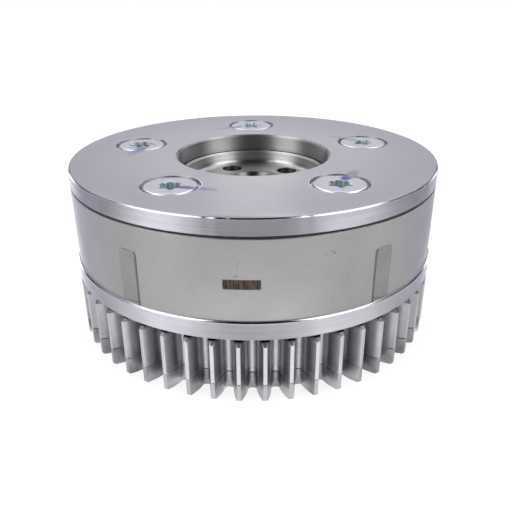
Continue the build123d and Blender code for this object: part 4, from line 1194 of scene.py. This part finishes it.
# Studio: white table and backdrop, softboxes on both sides, a high ring of light and a dark gap
# over the camera. Each brightness comes as a pair, for the left and for the right side, because
# the main softbox on the left is the stronger one.

# Heights of the rows of panels, in degrees
LOW, MIDDLE, RAISED, HIGH = (-95, 10), (10, 22), (22, 38), (38, 64)
ZENITH_END = 97
ZENITH_LEVEL = 0.03
PANEL_SOFT = 4
PANEL_COLOUR = "#FBFBFF"
# Past the front and the back, so that a panel has no soft end there
FRONT, BACK = -10, 190
# Height, azimuths from the front on both sides, and brightness; between the panels it is dark
PANELS = {
    "softbox_foot": (LOW, (38, 77), (1.6, 1.0)),
    "softbox": (MIDDLE, (38, 77), (2.7, 2.0)),
    "softbox_top": (RAISED, (38, 77), (2.7, 2.7)),
    "side_wall_foot": (LOW, (77, 102), (0.35, 0.5)),
    "side_wall": (RAISED, (77, 126), (0.4, 0.25)),
    "corner_strip": (LOW, (126, 141), (2.7, 2.4)),
    "corner_glow": (MIDDLE, (126, 141), (0.3, 0.3)),
    "corner_foot": (LOW, (141, 160), (0.45, 0.15)),
    "low_light_behind": (LOW, (160, BACK), (1.6, 1.6)),
    "backdrop_corner": (RAISED, (126, 160), (0.85, 1.05)),
    "backdrop": (RAISED, (160, BACK), (0.9, 0.9)),
    "high_ring_side": (HIGH, (38, 102), (2.5, 2.5)),
    "high_ring_corner": (HIGH, (126, 160), (2.5, 2.5)),
    "high_ring_behind": (HIGH, (160, BACK), (1.6, 1.6)),
    "over_the_camera": (RAISED, (FRONT, 38), (0.15, 0.15)),
}

# The table as the part's walls mirror it. In front of the part: brightness close to it and farther
# out, between two distances; then the sectors beside that
TABLE_HALF = 2.0
TABLE_FRONT, TABLE_FRONT_FALL = (1.0, 0.38), (70, 110)
TABLE_FRONT_END = 30
TABLE_SECTORS = (((30, 60), (0.55, 0.44)), ((60, 84), (0.35, 0.37)))
TABLE_SOFT = 7
# Farther round, each side is in cool shade up to a straight edge, given by its slope and the
# distance in front of the axis at which it would cross the middle
SHADE_FROM = 84
SHADE_LEFT, SHADE_RIGHT = "#A6A6C1", "#7E7EA0"
EDGE_SLOPE = 1.27
EDGE_CROSSING = 74
EDGE_SOFT = 6
# Behind the edge a lit strip, weaker away from the part, fades to an even level
STRIP_FROM = 60
STRIP_FADE = (35, 55)
STRIP_CLOSE, STRIP_FAR, STRIP_FALL = (2.9, 2.3), (2.0, 0.7), (68, 85)
TABLE_BEHIND = (0.68, 0.6)


def window(tree, value, low, high, soft):
    """1 where a direction lies between two angles in degrees, with soft ends."""
    return between(tree, value, radians(low), radians(high), radians(soft))


def by_side(tree, x, left, right):
    """One value on the left side and another on the right."""
    side = add(tree, "Math", {0: x, 1: 0.0}, operation="GREATER_THAN")
    return add(tree, "MapRange", {"Value": side, "To Min": left, "To Max": right})


def by_distance(tree, distance, span, levels):
    """A level that changes evenly between two distances in millimetres."""
    return add(tree, "MapRange", {
        "Value": distance, "From Min": span[0] * MM, "From Max": span[1] * MM,
        "To Min": levels[0], "To Max": levels[1],
    })


def mirrored_table(tree):
    """What the walls see of the table: a bright front, shade at the sides and a lit strip behind."""
    place = surface_place(tree)
    azimuth = add(tree, "Math", {0: azimuth_of(tree, place.x, place.y)}, operation="ABSOLUTE")
    aside = add(tree, "Math", {0: place.x}, operation="ABSOLUTE")
    behind = add(tree, "Math", {0: aside, 1: -EDGE_SLOPE, 2: place.y}, operation="MULTIPLY_ADD")
    behind = add(tree, "Math", {0: behind, 1: EDGE_CROSSING * MM}, operation="ADD")
    lit = add(tree, "MapRange", {
        "Value": behind, "From Min": -EDGE_SOFT * MM, "From Max": EDGE_SOFT * MM,
        "To Max": window(tree, azimuth, STRIP_FROM, BACK, TABLE_SOFT),
    }, **SMOOTH)
    strip = by_side(tree, place.x, *[
        by_distance(tree, place.out, STRIP_FALL, levels) for levels in zip(STRIP_CLOSE, STRIP_FAR)
    ])
    lit_level = by_distance(tree, behind, STRIP_FADE, (strip, by_side(tree, place.x, *TABLE_BEHIND)))
    shade = add(tree, "Mix", {
        0: by_side(tree, place.x, 0.0, 1.0), COLOUR_A: linear(SHADE_LEFT), COLOUR_B: linear(SHADE_RIGHT),
    }, **COLOURS)
    shade = add(tree, "VectorMath", {
        0: shade, "Scale": window(tree, azimuth, SHADE_FROM, BACK, TABLE_SOFT),
    }, operation="SCALE")
    sides = add(tree, "Mix", {0: lit, COLOUR_A: shade, COLOUR_B: lit_level}, **COLOURS)
    front = window(tree, azimuth, FRONT, TABLE_FRONT_END, TABLE_SOFT)
    level = by_distance(tree, place.out, TABLE_FRONT_FALL, TABLE_FRONT)
    level = add(tree, "Math", {0: front, 1: level}, operation="MULTIPLY")
    for azimuths, levels in TABLE_SECTORS:
        level = add(tree, "Math", {
            0: window(tree, azimuth, *azimuths, TABLE_SOFT), 1: by_side(tree, place.x, *levels), 2: level,
        }, operation="MULTIPLY_ADD")
    return add(tree, "VectorMath", {0: sides, 1: level}, operation="ADD")


# Light that the table seems to give where it is looked at straight, and how much of the light on it
# shows there and in mirrored views; this part keeps the shadow
TABLE_SEEN = 0.86
PAPER_SEEN, PAPER_MIRRORED = 0.26, 0.6
# Whiteness of the table for the light that it throws on the part, and the gap under the part in mm
PAPER_WHITE = 0.7
TABLE_GAP = 0.1


def grey(level):
    return (level, level, level, 1.0)


def studio_table():
    """White table, with a soft shadow under the part."""
    mesh = bpy.data.meshes.new("table_top")
    corners = [(x * TABLE_HALF, y * TABLE_HALF, 0) for x, y in ((-1, -1), (1, -1), (1, 1), (-1, 1))]
    mesh.from_pydata(corners, [], [(0, 1, 2, 3)])
    table = bpy.data.objects.new("table_top", mesh)
    bpy.context.scene.collection.objects.link(table)
    table.location.z = -TABLE_GAP * MM
    material, tree = new_material("white_table")
    rays = add(tree, "LightPath").node.outputs
    direct = rays["Is Camera Ray"]
    seen = direct
    for kind in ("Is Glossy Ray", "Is Transmission Ray"):
        seen = add(tree, "Math", {0: seen, 1: rays[kind]}, operation="MAXIMUM")
    glow = add(tree, "Mix", {
        0: direct, COLOUR_A: mirrored_table(tree), COLOUR_B: grey(TABLE_SEEN),
    }, **COLOURS)
    share = add(tree, "MapRange", {"Value": direct, "To Min": PAPER_MIRRORED, "To Max": PAPER_SEEN})
    glow = add(tree, "Emission", {"Color": glow, "Strength": 1.0})
    both = add(tree, "AddShader", {0: glow, 1: add(tree, "BsdfDiffuse", {"Color": share})})
    plain = add(tree, "BsdfDiffuse", {"Color": grey(PAPER_WHITE)})
    add(tree, "OutputMaterial", {"Surface": add(tree, "MixShader", {0: seen, 1: plain, 2: both})})
    mesh.materials.append(material)


def studio_world():
    """A dark room with the panels of light; the camera sees a white backdrop."""
    world = bpy.data.worlds.new("studio")
    bpy.context.scene.world = world
    world.use_nodes = True
    tree = world.node_tree
    tree.nodes.clear()
    towards = add(tree, "TexCoord", out="Generated")
    x, y, up = add(tree, "SeparateXYZ", {0: towards}).node.outputs
    azimuth = add(tree, "Math", {0: azimuth_of(tree, x, y)}, operation="ABSOLUTE")
    rise = add(tree, "Math", {0: up}, operation="ARCSINE")
    rows = {heights: window(tree, rise, *heights, PANEL_SOFT) for heights in (LOW, MIDDLE, RAISED, HIGH)}
    zenith = window(tree, rise, HIGH[1], ZENITH_END, PANEL_SOFT)
    light = add(tree, "Math", {0: zenith, 1: ZENITH_LEVEL}, operation="MULTIPLY")
    for heights, azimuths, levels in PANELS.values():
        panel = window(tree, azimuth, *azimuths, PANEL_SOFT)
        panel = add(tree, "Math", {0: panel, 1: rows[heights]}, operation="MULTIPLY")
        level = by_side(tree, x, *levels)
        light = add(tree, "Math", {0: panel, 1: level, 2: light}, operation="MULTIPLY_ADD")
    panels = add(tree, "Background", {"Color": linear(PANEL_COLOUR), "Strength": light})
    white = add(tree, "Background", {"Color": grey(1.0), "Strength": 1.0})
    seen = add(tree, "LightPath", out="Is Camera Ray")
    add(tree, "OutputWorld", {"Surface": add(tree, "MixShader", {0: seen, 1: panels, 2: white})})


# Camera, fitted to the photograph
CAMERA_PLACE = Vector((0, -150.50, 84.34)) * MM
CAMERA_NEAREST = 0.005
CAMERA_FOCUS_PIXELS = 589.5
PICTURE_PIXELS = 512
SENSOR_WIDTH = 36.0
CAMERA_PITCH = 0.440421
CAMERA_ROLL = -0.00518466
CAMERA_YAW = -0.00402376


def studio_camera():
    lens = bpy.data.cameras.new("camera")
    lens.sensor_width = SENSOR_WIDTH
    lens.lens = CAMERA_FOCUS_PIXELS * SENSOR_WIDTH / PICTURE_PIXELS
    lens.clip_start = CAMERA_NEAREST
    camera = bpy.data.objects.new("camera", lens)
    bpy.context.scene.collection.objects.link(camera)
    tilt = Matrix.Rotation(CAMERA_YAW, 3, "Z") @ Matrix.Rotation(-CAMERA_PITCH, 3, "X")
    right = tilt @ Vector((cos(CAMERA_ROLL), 0, sin(CAMERA_ROLL)))
    upward = tilt @ Vector((-sin(CAMERA_ROLL), 0, cos(CAMERA_ROLL)))
    backward = right.cross(upward)
    turn = Matrix((right, upward, backward)).transposed()
    camera.matrix_world = Matrix.Translation(CAMERA_PLACE) @ turn.to_4x4()
    bpy.context.scene.camera = camera


studio_table()
studio_world()
studio_camera()
bpy.context.scene.view_settings.view_transform = "Standard"
